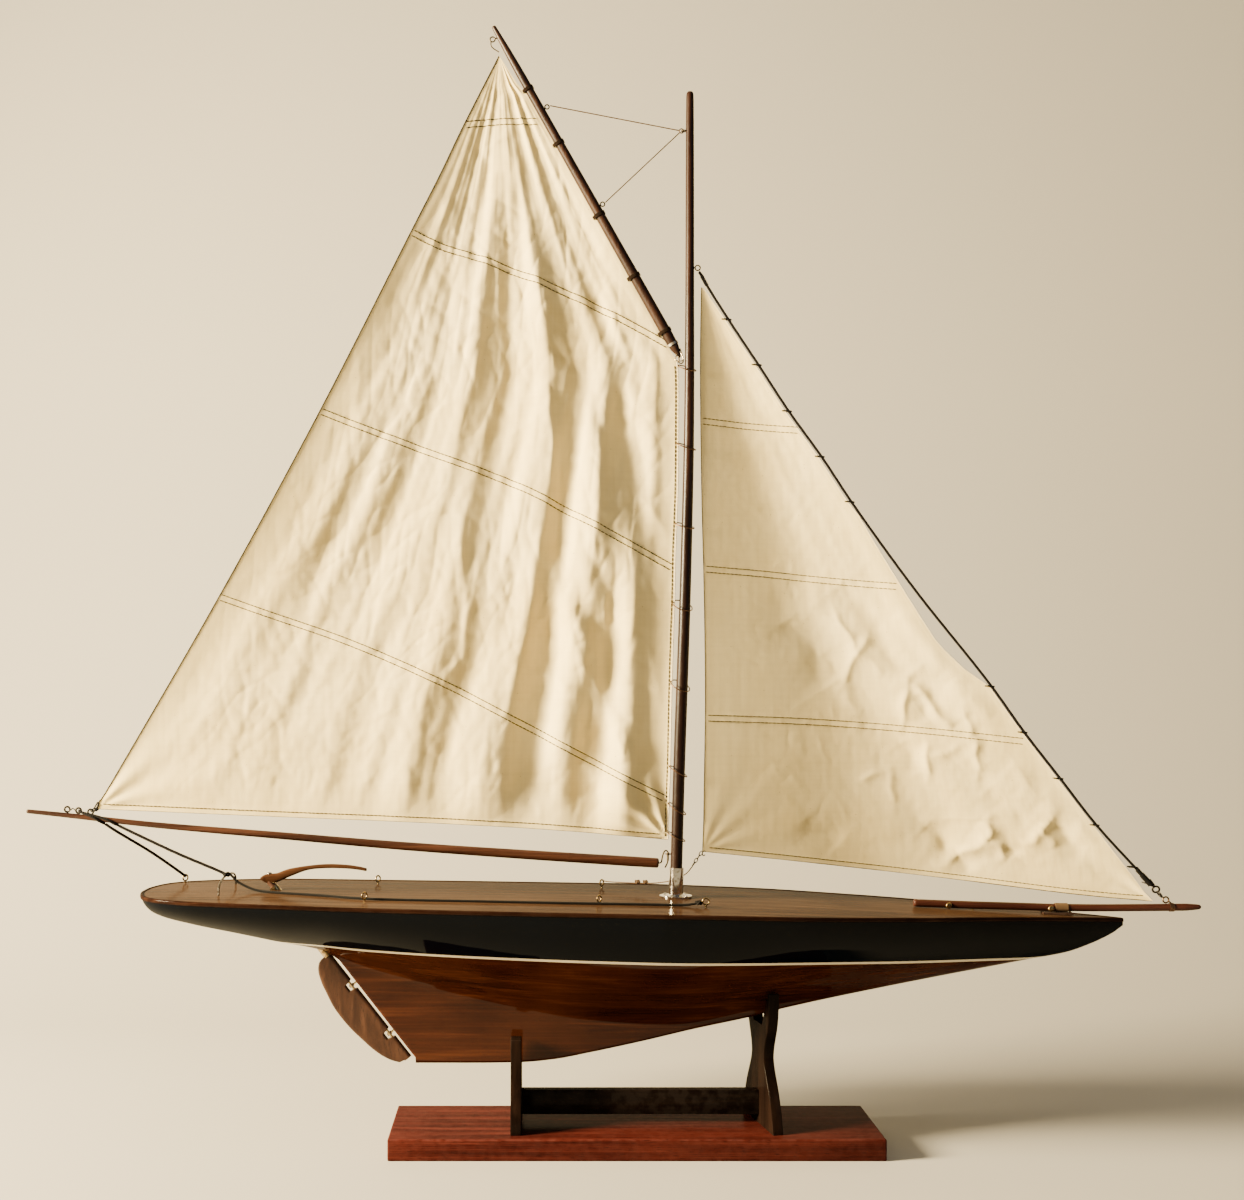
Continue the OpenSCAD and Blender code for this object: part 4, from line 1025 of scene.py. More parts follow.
# upper and lower edge of the tiller, from aft: x, z
TILLER_TOP = [(-349.5, 248.2), (-345, 251.2), (-338, 252.3), (-333, 252.9), (-322.3, 256.7),
              (-304.2, 259.7), (-286.2, 261.2), (-268.3, 260.5), (-256.3, 258.8),
              (-249.3, 257.1)]
TILLER_BOTTOM = [(-348.6, 246.9), (-344, 243.8), (-338, 242.8), (-332, 244.6), (-321, 249.4),
                 (-304, 255.6), (-286, 257.2), (-268, 256.8), (-256.8, 255.6),
                 (-249.6, 254.3)]


def tiller():
    top, bottom = catmull(TILLER_TOP, 6), catmull(TILLER_BOTTOM, 6)
    rings, sides = len(top), 20
    angle = np.arange(sides) * 2 * math.pi / sides

    def squared(value):
        """rounds the section towards a square"""
        return np.sign(value) * np.abs(value) ** 0.62
    across, upward = squared(np.cos(angle)), squared(np.sin(angle))
    sections = []
    for i in range(rings):
        centre = (top[i] + bottom[i]) / 2
        half = np.linalg.norm(top[i] - bottom[i]) / 2
        up = (top[i] - bottom[i]) / (2 * half)
        along = i / (rings - 1)
        width = 3.4 - 1.6 * along if along > 0.1 else 3.4
        if i in (0, rings - 1):
            half *= 0.7
            width *= 0.7
        sections.append(np.stack([centre[0] + up[0] * half * upward, width * across,
                                  centre[1] + up[1] * half * upward], 1))
    faces = loft_faces(rings, sides) + end_caps(rings, sides)
    mesh_object("tiller_arm", (np.concatenate(sections), faces), "tiller_wood", "rudder",
                replaces=("tiller",), recalc=True)


rudder_blade()
tiller()

# ---------------------------------------------------------------- sail outlines, x and z
CLEW, TACK = (-502.4, 312.9), (32.3, 284.2)  # lower corners of the mainsail
MAIN_LEECH = np.array([CLEW, (-499.1, 321.1), (-487.1, 339.8), (-387.9, 511.2),
                       (-293.3, 685.4), (-208.1, 853.0), (-180.9, 906.4), (-158.4, 953.4),
                       (-125.6, 1017.5)])
MAIN_LUFF = catmull([TACK, (32.9, 300), (33.8, 325), (34.8, 358), (35.8, 415), (37.4, 471),
                     (38.7, 508), (39.6, 555), (40.9, 588), (41.8, 621), (42.2, 682),
                     (42.1, 715), (41.0, 731)], 6)
MAIN_FOOT = np.array([CLEW, (-350, 306.2), (-199.6, 300.1), (-80, 293.4), TACK])
# the head lies along the underside of the gaff
main_head = [(gaff_foot - gaff_side * (gaff_radius(d) + 0.35) + gaff_up * d)[[0, 2]]
             for d in np.linspace(9, gaff_length - 70, 40)]
main_head += [(-109.0, 992.0), (-118.2, 1006.5), (-124.9, 1017.0)]
main_right = np.concatenate([MAIN_LUFF, np.array(main_head)[1:]])
MAIN_SEAMS = [catmull(points, 6) for points in (
    [(-158.4, 953.4), (-136, 956.2), (-112.1, 957.0), (-86.6, 956.2)],
    [(-208.1, 853.0), (-180.9, 840.8), (-142.2, 828.7), (-94.9, 810.4), (-43.2, 787.8),
     (4.0, 763.1), (34.3, 745.8)],
    [(-293.3, 685.4), (-257, 671.5), (-185, 645), (-110, 616.5), (-35, 577.5),
     (38.2, 537.6)],
    [(-387.9, 511.2), (-345, 496), (-265, 468), (-180, 431), (-95, 387), (-25, 350),
     (34.0, 320.1)])]

JIB_LEECH = np.array([(65.0, 273.0), (66.0, 300), (66.6, 339.8), (67.6, 414.7),
                      (66.6, 508.4), (64.4, 600), (63.3, 674.1), (63.0, 740), (63.9, 801)])
JIB_LUFF = np.array([
    (486.6, 226.6), (478.5, 234.6), (467.0, 250.5), (430.0, 298.5), (396.6, 342.0),
    (363.0, 385.6), (333.2, 427.6), (309.7, 444.0), (291.3, 461.5), (282.1, 472.0),
    (268.9, 492.6), (254.5, 515.4), (225.6, 562.6), (211.4, 587.0), (200.3, 601.0),
    (172.4, 643.6), (141.6, 686.0), (113.6, 729.6), (85.6, 771.6), (66.2, 800)])
JIB_FOOT = np.array([(65.0, 273.0), (140, 264.2), (231.2, 252.9), (374.5, 236.1),
                     (440, 229.6), (486.6, 226.6)])
JIB_SEAMS = [catmull(points, 6) for points in (
    [(63.5, 676.0), (95, 673.2), (128, 670.0), (158.9, 666.8)],
    [(66.3, 537.4), (128, 533.0), (190, 526.5), (249.7, 520.7)],
    [(68.2, 397.8), (165, 394.0), (270, 386.0), (368.6, 375.6)])]

# ---------------------------------------------------------------- creases in the cloth
# each crease: x and z of one end, x and z of the other, half width, height towards port
MAIN_CREASES = [
    (-160, 583, -157, 464, 5, -2.0), (-157, 464, -181, 424, 5, -1.5),
    (-78, 710, -76, 621, 4.5, -1.7), (-132, 609, -162, 490, 7, 2.0),
    (-120, 611, -146, 508, 5, 1.2), (-259, 752, -258, 682, 3.5, -1.3),
    (-209, 799, -246, 705, 9, 2.0), (-181, 742, -209, 644, 9, -2.2),
    (-335, 583, -378, 508, 11, -2.6), (-246, 625, -307, 522, 11, 2.3),
    (-284, 429, -349, 368, 10, 2.4), (-380, 443, -457, 373, 11, 2.0),
    (-50, 508, 16, 340, 13, 3.6), (-73, 518, -1, 354, 12, -3.2),
    (-87, 565, -36, 452, 9, -2.0), (-12, 686, 16, 565, 8, 2.2),
    (-1, 611, 37, 569, 5, -1.5), (-115, 939, -111, 878, 7, -1.3),
    (-17, 391, -11, 363, 4, -1.5), (-153, 410, -181, 330, 8, -1.4),
    (-97, 447, -59, 424, 4.5, -1.0), (-31, 813, 6, 677, 10, -2.8),
    (-59, 892, -22, 771, 9, 2.6), (-228, 480, -265, 429, 8, 1.4),
    (-307, 457, -328, 410, 6, -1.1), (-186, 368, -209, 312, 7, 1.1),
    (-284, 359, -292, 319, 6, -1.0), (-139, 939, -148, 836, 8, 1.6),
    (-97, 864, -85, 733, 9, -2.0), (-181, 611, -218, 513, 8, -1.7),
    (-228, 658, -275, 565, 9, -1.9), (-50, 771, -22, 644, 8, 2.0),
    (-115, 565, -111, 480, 6, 1.3), (-40, 560, -12, 471, 7, 1.6),
    (16, 480, 30, 368, 6, -1.4), (-415, 405, -467, 354, 7, -1.3)]
JIB_CREASES = [
    (336.9, 300.1, 337.8, 281.2, 5, -2.4), (337.8, 281.2, 311.3, 267.3, 5, -2.2),
    (337.8, 281.2, 357.3, 265.1, 5, -2), (281.7, 295.6, 311.3, 265.9, 8, 2.8),
    (311.3, 267.3, 322.1, 249.7, 6, 1.6), (311.3, 267.3, 290.4, 252.1, 6, -1.2),
    (386.7, 293.8, 370.1, 276.1, 5, -2.2), (389.2, 296.5, 428.7, 276.6, 8, 2.4),
    (386.7, 293.8, 397.5, 275, 6, -1.6), (370.1, 276.1, 350.6, 269.1, 5, 1.2),
    (381.6, 289.7, 393, 300.6, 3.5, -1.4), (415.1, 303.5, 431.1, 280.7, 6, -1.4),
    (259, 425.4, 256.4, 393, 3.5, -1.5), (263.7, 430.7, 301.2, 387.7, 4.5, -2),
    (269.1, 420, 282.7, 395.8, 6, 1.4), (277.8, 374.2, 281.5, 341.7, 3.2, -1.6),
    (256.7, 374.1, 275.6, 347.1, 6, 1.2), (311.3, 406.6, 319.7, 379.7, 4, -1.2),
    (322.4, 374.3, 326.1, 344.7, 3.6, -1.8), (283.3, 358, 309.3, 371.6, 3.6, -0.9),
    (298.6, 385, 314.1, 395.8, 4, 0.9), (314.8, 360.8, 341.5, 334, 6, 1),
    (336.3, 331.2, 373.6, 296.4, 8, 1.6), (351.5, 352.9, 383.5, 318.1, 9, -1.4),
    (294.9, 300.6, 332.9, 302.8, 2.6, -0.8), (217.5, 338.6, 241.3, 346.9, 3, -0.8),
    (246.6, 347, 250.2, 314.4, 4, -0.9), (191.5, 498, 211.8, 461.7, 4, -1.3),
    (220.9, 475.1, 200.3, 430.7, 4, -1.5), (211.8, 461.7, 239.9, 438.8, 5, -0.9),
    (181.4, 457.7, 200.2, 438.8, 6, 0.9), (203, 430.7, 214.1, 395.6, 6, -1),
    (193.8, 524.8, 263.5, 438.8, 14, 2.6), (263.5, 438.8, 308.9, 395.8, 10, 2),
    (164.6, 530.4, 202.5, 465.8, 12, -1.8), (149.1, 492.8, 189.8, 428, 14, 2.2),
    (297.7, 433.4, 335, 395.9, 9, -1.6), (249.4, 500.5, 297.5, 444.1, 12, -1.6),
    (383.4, 326.2, 404.5, 310.2, 6, -1), (166.2, 303.4, 194.4, 272.9, 12, 0.9)]


def creases(x, z, table):
    y = np.zeros_like(x)
    for x1, z1, x2, z2, width, height in table:
        dx, dz = x2 - x1, z2 - z1
        length = math.hypot(dx, dz)
        t = ((x - x1) * dx + (z - z1) * dz) / (length * length)
        inside = np.clip(t, 0, 1)
        wobble = 0.35 * width * np.sin(t * 7 + x1)
        off = np.abs(((x - x1) * dz - (z - z1) * dx) / length + wobble)
        beyond = np.abs(t - inside) * length
        swell = np.clip(np.sin(np.clip(t, 0.02, 0.98) * math.pi), 0, 1)
        y = y + (height * np.exp(-(np.sqrt(off * off + (0.5 * width) ** 2) - 0.5 * width) / width)
                 * np.exp(-(beyond / (2.2 * width)) ** 2) * np.power(swell, 0.35))
    return y


def scatter(seed, count, x_range, z_range, tilt, keep_if):
    """small random creases, leaning by about tilt radians from the vertical"""
    rng = np.random.RandomState(seed)
    table = []
    while len(table) < count:
        x, z = rng.uniform(*x_range), rng.uniform(*z_range)
        if not keep_if(x, z):
            continue
        lean = rng.normal(tilt, 0.75)
        length = rng.uniform(9, 34)
        width = rng.uniform(1.5, 4.0)
        height = rng.uniform(0.25, 0.75) * rng.choice([-1, 1])
        table.append((x, z, x + length * math.sin(lean), z + length * math.cos(lean),
                      width, height))
    return table


def in_main(x, z):
    return (z > 300 and x > float(np.interp(z, MAIN_LEECH[:, 1], MAIN_LEECH[:, 0])) + 10
            and x < 35 - max(0, z - 730) * 0.56)


def in_jib(x, z):
    return (z > 262 and x > 110 + max(0, 520 - z) * 0.12
            and x < float(np.interp(z, JIB_LUFF[:, 1], JIB_LUFF[:, 0])) - 14)


main_small = scatter(5, 230, (-480, 35), (300, 1000), 0.12, in_main)
jib_small = scatter(9, 110, (100, 470), (250, 640), -0.5, in_jib)


def crumple(x, z, degrees, width, length, seed, power, base):
    """sharp noise ridges of a given size, turned by an angle"""
    cos, sin = math.cos(math.radians(degrees)), math.sin(math.radians(degrees))
    lines = ridge((x * cos + z * sin) / width, (-x * sin + z * cos) / length, seed)
    return np.power(np.clip(lines, 0, 1), power) - base


def corner_pull(x, z, corner, side, height, bend, bend_length, reach, start):
    """folds that fan out of a corner; side is the sign of x from it into the sail"""
    r = np.hypot(x - corner[0], z - corner[1])
    angle = np.arctan2(z - corner[1], (x - corner[0]) * side)
    return (height * np.sin(angle * 13 + bend * np.sin(r / bend_length))
            * np.exp(-r / reach) * np.clip(r / start, 0, 1))


# crumples: angle in degrees, width, length, height, noise seed
MAIN_CRUMPLES = [(72, 26, 70, 0.8, 11), (20, 24, 60, 0.9, 12), (-38, 22, 60, 0.8, 13),
                 (-8, 17, 90, 0.8, 14)]
JIB_CRUMPLES = [(50, 34, 70, 2.0, 51), (-30, 30, 76, 1.8, 52), (80, 34, 74, 1.3, 54)]


def main_shape(x, z, across, up):
    """Draught and folds of the mainsail, towards port.
    across runs from leech to luff and up from foot to head, both 0 to 1."""
    y = (8 * np.sin(math.pi * np.power(across, 0.75))
         * np.sin(math.pi * np.minimum(1, up * 0.93 + 0.07)))
    # folds are held down at the edges, grow downwards and are fullest near the luff
    edge = (np.minimum(1, np.minimum(across * 5 + 0.08, (1 - across) * 10 + 0.10))
            * np.minimum(1, np.minimum(up * 16 + 0.16, (1 - up) * 18)))
    grow = np.clip((1 - up) * 1.75, 0.02, 1.12)
    fuller = 1 + np.clip(1.5 - 2 * up, 0, 1) * (
        -0.64 + 1.0 * np.clip((across - 0.36) / 0.44, 0, 1))
    large = noise2(across * 8.0 + 0.5 * noise2(up * 3, across * 2, seed=3), up * 2.1, seed=1)
    middle = noise2(across * 17 + 0.6 * up, up * 3.0, seed=2)
    small = noise2(across * 36, up * 8.0, seed=4)
    y = y + edge * grow * fuller * (9.5 * large + 3.6 * middle + 0.7 * small)
    # bigger folds beside the luff that gather at the tack
    y = y + (edge * 5.2 * np.exp(-((across - 0.80) / 0.16) ** 2)
             * np.sin(2 * math.pi * (across * 7.2 + 0.35 * up)) * np.clip(1.1 - 1.05 * up, 0, 1))
    y = y + edge * 1.3 * fuller * creases(x, z, MAIN_CREASES)
    y = y + edge * 0.95 * fuller * creases(x, z, main_small)
    # pressed creases that cross the folds, in patches
    for angle, width, length, height, seed in MAIN_CRUMPLES:
        patches = np.clip(0.6 + 1.2 * noise2(x / 150, z / 150, seed + 20), 0, 1)
        y = y + edge * 0.6 * height * patches * crumple(
            x, z, angle, width, length, seed, power=3.0, base=0.3)
    y = y + edge * 0.26 * noise2(x / 8, z / 11, seed=31)
    for corner, side, height in (((-502, 313), 1, 0.9), ((32, 284), -1, 2.2)):
        y = y + corner_pull(x, z, corner, side, height, bend=1.3, bend_length=60,
                            reach=120, start=24)
    return y


# profile of the jib's draught from leech to luff, zero at both edges
draught_at = np.linspace(0, 1, 401)
draught_turn = np.clip((draught_at - 0.28) / 0.42, 0, 1)
draught = np.cumsum(1 - 1.95 * draught_turn * draught_turn * (3 - 2 * draught_turn)) / 400
draught = draught - draught[0] - (draught[-1] - draught[0]) * draught_at
JIB_DRAUGHT, JIB_CHORD = 0.19, 421  # fullness, and the foot's length it is taken of


def jib_shape(x, z, across, up):
    """as main_shape; the after half lies smooth, the luff half is full and crumpled"""
    y = (JIB_DRAUGHT * JIB_CHORD * (1 - up) * np.interp(across, draught_at, draught)
         * np.clip(0.85 + up, 0, 1))
    edge = (np.minimum(1, np.minimum(across, 1 - across) * 9 + 0.15)
            * np.minimum(1, np.minimum(up * 14 + 0.3, (1 - up) * 12)))
    luff_half = np.clip((across - 0.34) / 0.30, 0, 1)
    fade = np.clip((1 - up) * 1.5, 0.04, 1)
    y = y + edge * fade * (0.14 + 0.86 * luff_half) * (
        2.8 * noise2(across * 4.6, up * 1.8, seed=41) + 0.8 * noise2(across * 9, up * 3.4, seed=42))
    y = y + edge * 1.5 * creases(x, z, JIB_CREASES) + edge * 0.35 * creases(x, z, jib_small)
    # crumples near the tack and along the slack luff
    near_tack = np.clip(1.25 - np.hypot((x - 400) / 190, (z - 310) / 130), 0, 1) + 0.12
    patches = near_tack * (0.1 + 0.9 * luff_half)
    for angle, width, length, height, seed in JIB_CRUMPLES:
        y = y + edge * 0.16 * patches * height * crumple(
            x, z, angle, width, length, seed, power=2.2, base=0.35)
    y = y + edge * (0.07 + 0.12 * luff_half) * noise2(x / 8, z / 10, seed=61)
    for corner, side, height in (((486, 226), -1, 1.2), ((65, 273), 1, 0.35)):
        y = y + corner_pull(x, z, corner, side, height, bend=1.1, bend_length=45,
                            reach=60, start=22)
    return y


# ---------------------------------------------------------------- sails
CLOTH_THICK = 0.45
SEAM_HALF = 3.4         # half width of the doubled cloth at a seam
SEAM_STITCH = 2.75      # from a seam's middle to each row of stitches


def sail_grid(leech, luff, foot, rows, columns):
    left = resample(catmull(leech, 8), 1.0)[0]
    right = resample(luff, 1.0)[0]
    up, across = np.linspace(0, 1, rows), np.linspace(0, 1, columns)
    grid = (at_fractions(left, up)[:, None, :] * (1 - across)[None, :, None]
            + at_fractions(right, up)[:, None, :] * across[None, :, None])
    # the foot's curve fades upward
    curve = at_fractions(resample(catmull(foot, 8), 1.0)[0], across) - grid[0]
    grid += curve[None] * ((1 - up) ** 6)[:, None, None]
    return grid, across, up


def distance_to(x, z, line):
    best = np.full(x.shape, 1e9)
    for (ax, az), (bx, bz) in zip(line[:-1], line[1:]):
        dx, dz = bx - ax, bz - az
        t = np.clip(((x - ax) * dx + (z - az) * dz) / (dx * dx + dz * dz), 0, 1)
        best = np.minimum(best, np.hypot(x - ax - t * dx, z - az - t * dz))
    return best


def hem(distance, width, height):
    return height * np.clip((width + 0.6 - distance) / 0.6, 0, 1)


def build_sail(name, leech, luff, foot, shape, seams, body, replaces, rows, columns):
    """makes the cloth and returns a function that gives its middle's y at x, z"""
    grid, across, up = sail_grid(leech, luff, foot, rows, columns)
    across, up = np.meshgrid(across, up)
    X, Z = grid[..., 0], grid[..., 1]
    Y = shape(X, Z, across, up)
    extra = np.maximum(hem(distance_to(X, Z, catmull(foot, 4)), 4.6, 0.14),
                       hem(distance_to(X, Z, luff), 3.0, 0.10))
    for seam in seams:
        away = distance_to(X, Z, seam)
        extra = np.maximum(extra, 0.13 * np.clip((SEAM_HALF - away) / 0.6, 0, 1))
        # the stitching puckers the cloth
        Y = Y + 0.2 * np.exp(-away / 7) * noise2(X / 5.5, Z / 9, seed=71)
    half = CLOTH_THICK / 2 + extra
    solid = skin_geo(np.stack([X, Y + half, Z], -1), np.stack([X, Y - half, Z], -1))
    mesh_object(name, solid, "sailcloth", body, replaces=replaces, sharp=55, recalc=True)
    middle = np.stack([X, Y, Z], -1).reshape(-1, 3)
    quads = [(i * columns + k, (i + 1) * columns + k, (i + 1) * columns + k + 1,
              i * columns + k + 1) for i in range(rows - 1) for k in range(columns - 1)]
    tree = BVHTree.FromPolygons([Vector(p) for p in middle], quads)

    def cloth_y(x, z):
        hit = tree.ray_cast(Vector((x, -200, z)), Vector((0, 1, 0)))[0]
        if hit is None:
            hit = tree.find_nearest(Vector((x, 0, z)))[0]
        return hit.y
    return cloth_y


def stitches(name, lines, cloth_y, body, radius):
    """rows of stitches on both faces of a sail"""
    length, gap, lift, dip = 3.4, 0.5, 0.52, 0.22
    parts = []
    for line in lines:
        path, along = resample(line, 0.7)
        start = 0.0
        while start + length < along[-1]:
            spots = columns_at(np.linspace(start, start + length, 4), along, path)
            for side in (-1, 1):
                points = []
                for k, (x, z) in enumerate(spots):
                    sunk = dip if k in (0, 3) else 0
                    points.append((x, cloth_y(x, z) + side * (lift - sunk), z))
                radii = [radius * 0.7, radius, radius, radius * 0.7]
                parts.append(sweep_geo(np.array(points), radii, 5))
            start += length + gap
    mesh_object(name, join_geo(parts), "brown_thread", body)


def edge_rope(name, line, cloth_y, body, radius, material="brown_thread"):
    points = np.array([(x, cloth_y(x, z), z) for x, z in resample(line, 1.5)[0]])
    points[2:-2, 1] = np.convolve(points[:, 1], np.ones(5) / 5, "valid")
    mesh_object(name, rope_geo(points, radius, 2, 3.2, 0.8, 5), material, body)


def inset(line, distance, trim):
    """a row of stitches inside an edge, its ends trimmed by so many points"""
    return offset_line(resample(line, 3.0)[0], distance)[trim:-trim]


def trim_sail(sail, body, cloth_y, seams, insets, thread, leech, foot, luff,
              leech_radius, luff_radius):
    lines = []
    for seam in seams:
        path = resample(seam, 2.0)[0]
        lines += [offset_line(path, side * SEAM_STITCH)[1:-1] for side in (1, -1)]
    stitches(sail + "_stitching", lines + insets, cloth_y, body, thread)
    edge_rope(sail + "_boltrope", catmull(leech, 8), cloth_y, body, leech_radius)
    edge_rope(sail + "_footrope", catmull(foot, 8), cloth_y, body, 0.45)
    edge_rope(sail + "_luff_tape", luff, cloth_y, body, luff_radius, "luff_tape")


main_y = build_sail("mainsail_cloth", MAIN_LEECH, main_right, MAIN_FOOT, main_shape,
                    MAIN_SEAMS, "boom", ("mainsail",), rows=390, columns=270)
trim_sail("mainsail", "boom", main_y, MAIN_SEAMS,
          [inset(MAIN_LUFF, 2.6, 1), inset(catmull(MAIN_FOOT, 8), 4.5, 2)], 0.48,
          MAIN_LEECH, MAIN_FOOT, MAIN_LUFF, leech_radius=0.72, luff_radius=0.8)
jib_y = build_sail("jib_cloth", JIB_LEECH, JIB_LUFF, JIB_FOOT, jib_shape, JIB_SEAMS,
                   "jib", ("jib_sail",), rows=330, columns=210)
trim_sail("jib", "jib", jib_y, JIB_SEAMS, [inset(catmull(JIB_FOOT, 8), 4.3, 2)], 0.40,
          JIB_LEECH, JIB_FOOT, JIB_LUFF, leech_radius=0.5, luff_radius=0.7)

# ---------------------------------------------------------------- forestay
# the straight line from the mast to the bowsprit
stay_top, stay_foot = vec(59.7, 0, 818.3), vec(498.5, 0, 225.3)
stay_length = np.linalg.norm(stay_foot - stay_top)
stay_down = (stay_foot - stay_top) / stay_length
# the stay as it hangs: z, x
STAY_LINE = [(240.6, 485.6), (245.2, 481.6), (297.6, 433.8), (341.1, 400), (384.4, 366.4),
             (427.5, 335.6), (517.8, 264), (600.1, 204.5), (642.4, 176.5), (685, 145.8),
             (728.3, 117.5), (770.9, 89.3), (808.5, 65.9), (813.3, 63.4)]
HANK_HEIGHTS = (770.9, 728.3, 685, 642.4, 600.1, 427.5, 384.4, 341.1, 297.6, 258)
# a hank's wire round the stay, from the stay's middle
HANK = [(-6.5, -1.0, 0.4), (-3.0, -2.1, 0.2), (0.6, -2.3, 0), (2.3, -0.8, -0.2),
        (2.0, 1.4, -0.1), (-0.4, 2.2, 0.2), (-3.6, 1.8, 0.5), (-7.0, 0.9, 0.6)]


def stay(distance):
    return stay_top + stay_down * distance


def hang(z):
    return vec(float(fair(STAY_LINE, z)), 0, z)


def forestay():
    path = np.array([hang(z) for z in np.r_[np.linspace(813.0, 246, 190), [243.5, 241.2]]])
    mesh_object("forestay_cord", cord_geo(path, 1.35, 0.9), "black_cord", "jib",
                replaces=("forestay",))
    links = [link_geo(stay(stay_length - up), side, stay_down, 2.9, 2.9, 0.95)
             for up, side in ((15.0, vec(stay_down[2], 0.35, -stay_down[0])),
                              (9.2, vec(-0.1, 1, 0.1)))]
    mesh_object("stay_links", join_geo(links), "black_metal", "hull",
                replaces=("forestay_link",), recalc=True)
    hanks = [sweep_geo(catmull([hang(z) + vec(*p) for p in HANK], 5), 0.7, 7)
             for z in HANK_HEIGHTS]
    mesh_object("jib_hank_wires", join_geo(hanks), "black_metal", "jib",
                replaces=("jib_hanks",), recalc=True)
    # two layers over the lower end, short ones elsewhere
    low = np.array([hang(z) for z in np.linspace(256, 241.4, 16)])
    servings = [
        serving_geo(low, radius=1.5, wire=0.75, turns=13),
        serving_geo(low[5:], radius=2.1, wire=0.7, turns=8),
        serving_geo([hang(812), hang(803)], radius=1.3, wire=0.6, turns=8),
        serving_geo([stay(3.4), stay(9.5)], radius=0.9, wire=0.6, turns=6),
        serving_geo([stay(stay_length - 25.5), stay(stay_length - 19.2)],
                    radius=1.2, wire=0.75, turns=6)]
    mesh_object("forestay_serving", join_geo(servings), "black_cord", "jib")


forestay()


# ---------------------------------------------------------------- mainsheet and boom end
def sheet_legs():
    """two cords from the deck up to the boom"""
    port = catmull([(-494, 0, boom_z(-494) - 4.2), (-484, 3, 291), (-458, 26, 269.5),
                    (-434.5, 49, 246.8), (-431.2, 52, 242.6)], 8)
    starboard = catmull([(-481, -1.5, boom_z(-481) - 4.2), (-466, -3, 290),
                         (-425, -6, 271.5), (-384.5, -8, 254.8), (-380.0, -8.6, 251.4)], 8)
    port_leg = mesh_object("mainsheet_leg_port", cord_geo(port, 1.45, 0.8), "black_cord", None)
    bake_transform(port_leg)
    starboard_leg = mesh_object("mainsheet_leg_starboard", cord_geo(starboard, 1.45, 0.8),
                                "black_cord", None)
    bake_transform(starboard_leg)
    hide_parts("mainsheet_fall")


def beside_boom(x, angle):
    """a point on the boom's starboard side, angle in radians above its middle"""
    reach = boom_radius(x) + 1.2
    return (x, -reach * math.cos(angle), boom_z(x) + reach * math.sin(angle))


def boom_turns():
    """two parts of the sheet slant down the boom's starboard side to the legs"""
    first = [(-519.4, 0.3, boom_z(-519.4) + 5.6), (-516, -0.8, boom_z(-516) + 4.4),
             beside_boom(-511, 0.9), beside_boom(-505, 0.35), beside_boom(-499, -0.5),
             (-494.6, -0.6, boom_z(-494.6) - boom_radius(-494.6) - 1.3)]
    second = [(-517, 0.6, boom_z(-517) + 4.2), beside_boom(-508, 1.1),
              beside_boom(-499, 0.6), beside_boom(-491, 0.05), beside_boom(-485.5, -0.7),
              (-481.4, -1.5, boom_z(-481) - boom_radius(-481) - 1.25)]
    turns = [cord_geo(catmull(path, 6), 1.3, 0.7) for path in (first, second)]
    mesh_object("mainsheet_boom_turns", join_geo(turns), "black_cord", "boom")


def boom_eyes():
    parts = []
    for x in (-530, -519.4, -508.2):
        z = boom_z(x)
        parts.append(link_geo(vec(x, 0, z + 5.6), vec(1, 0, 0), vec(0, 0, 1), 2.45, 2.45, 0.9))
        parts.append(sweep_geo([(x, 0, z - 1), (x, 0, z + 1.5), (x, 0, z + 3.2)], 0.95, 8))
    mesh_object("boom_end_eyes", join_geo(parts), "black_metal", "boom",
                replaces=("boom_eyes",), recalc=True)


def clew_lashing():
    """from the foremost boom eye to the corner of the sail"""
    path = catmull([(-508.2, 0.8, boom_z(-508) + 6), (-505.6, -0.6, boom_z(-505) + 6.6),
                    (-503.4, -0.8, 312.2), (-501.6, -0.6, 314.4), (-500.2, -0.4, 317.4),
                    (-501.4, 0.6, 319.0), (-503.2, 0.8, 316.4), (-505.5, 0.8, 312.8),
                    (-508.4, 0.2, boom_z(-508) + 7)], 6)
    parts = [rope_geo(path, 0.75, 2, 4.0, 0.6),
             serving_geo([(-503.6, -0.2, 311.6), (-501.2, -0.2, 313.4)], 1.3, 0.6, 3)]
    mesh_object("clew_lashing", join_geo(parts), "black_cord", "boom")


def over_deck(x, y, lift, deck_at=None):
    """a point above the deck's height there, or above its height at deck_at"""
    return (float(x), float(y), float(deck_z(*(deck_at or (x, y)))) + lift)


def deck_run():
    path = [(-380.0, -8.6, 251.4), (-377.6, -9, 254.0), (-373, -10.5, 250.5),
            (-366, -13, 245), over_deck(-350, -20, 2.4), over_deck(-330, -27, 1.3),
            over_deck(-290, -38, 1.25), over_deck(-249, -52.4, 1.4, (-249, -52)),
            over_deck(-213, -55, 1.25), over_deck(-140, -56, 1.2), over_deck(-69, -57, 1.2),
            over_deck(0, -57, 1.2), over_deck(40, -57, 1.4),
            over_deck(49, -57, 2.4, (50, -57)), over_deck(54.5, -57, 3.4, (55, -57))]
    mesh_object("mainsheet_deck_run", cord_geo(catmull(path, 8), 1.2, 0.8), "black_cord",
                "hull", replaces=("mainsheet_tail",))


def knot(name, centre, size, material, wire):
    """trefoil knot on the hull"""
    t = np.linspace(0, TURN, 90)
    path = np.stack([centre[0] + size * (np.sin(t) + 2 * np.sin(2 * t)) / 2.4,
                     centre[1] + size * (np.cos(t) - 2 * np.cos(2 * t)) / 2.4,
                     centre[2] - size * np.sin(3 * t) * 0.6], 1)
    mesh_object(name, sweep_geo(path[:-1], wire, 8, closed=True), material, "hull",
                recalc=True)


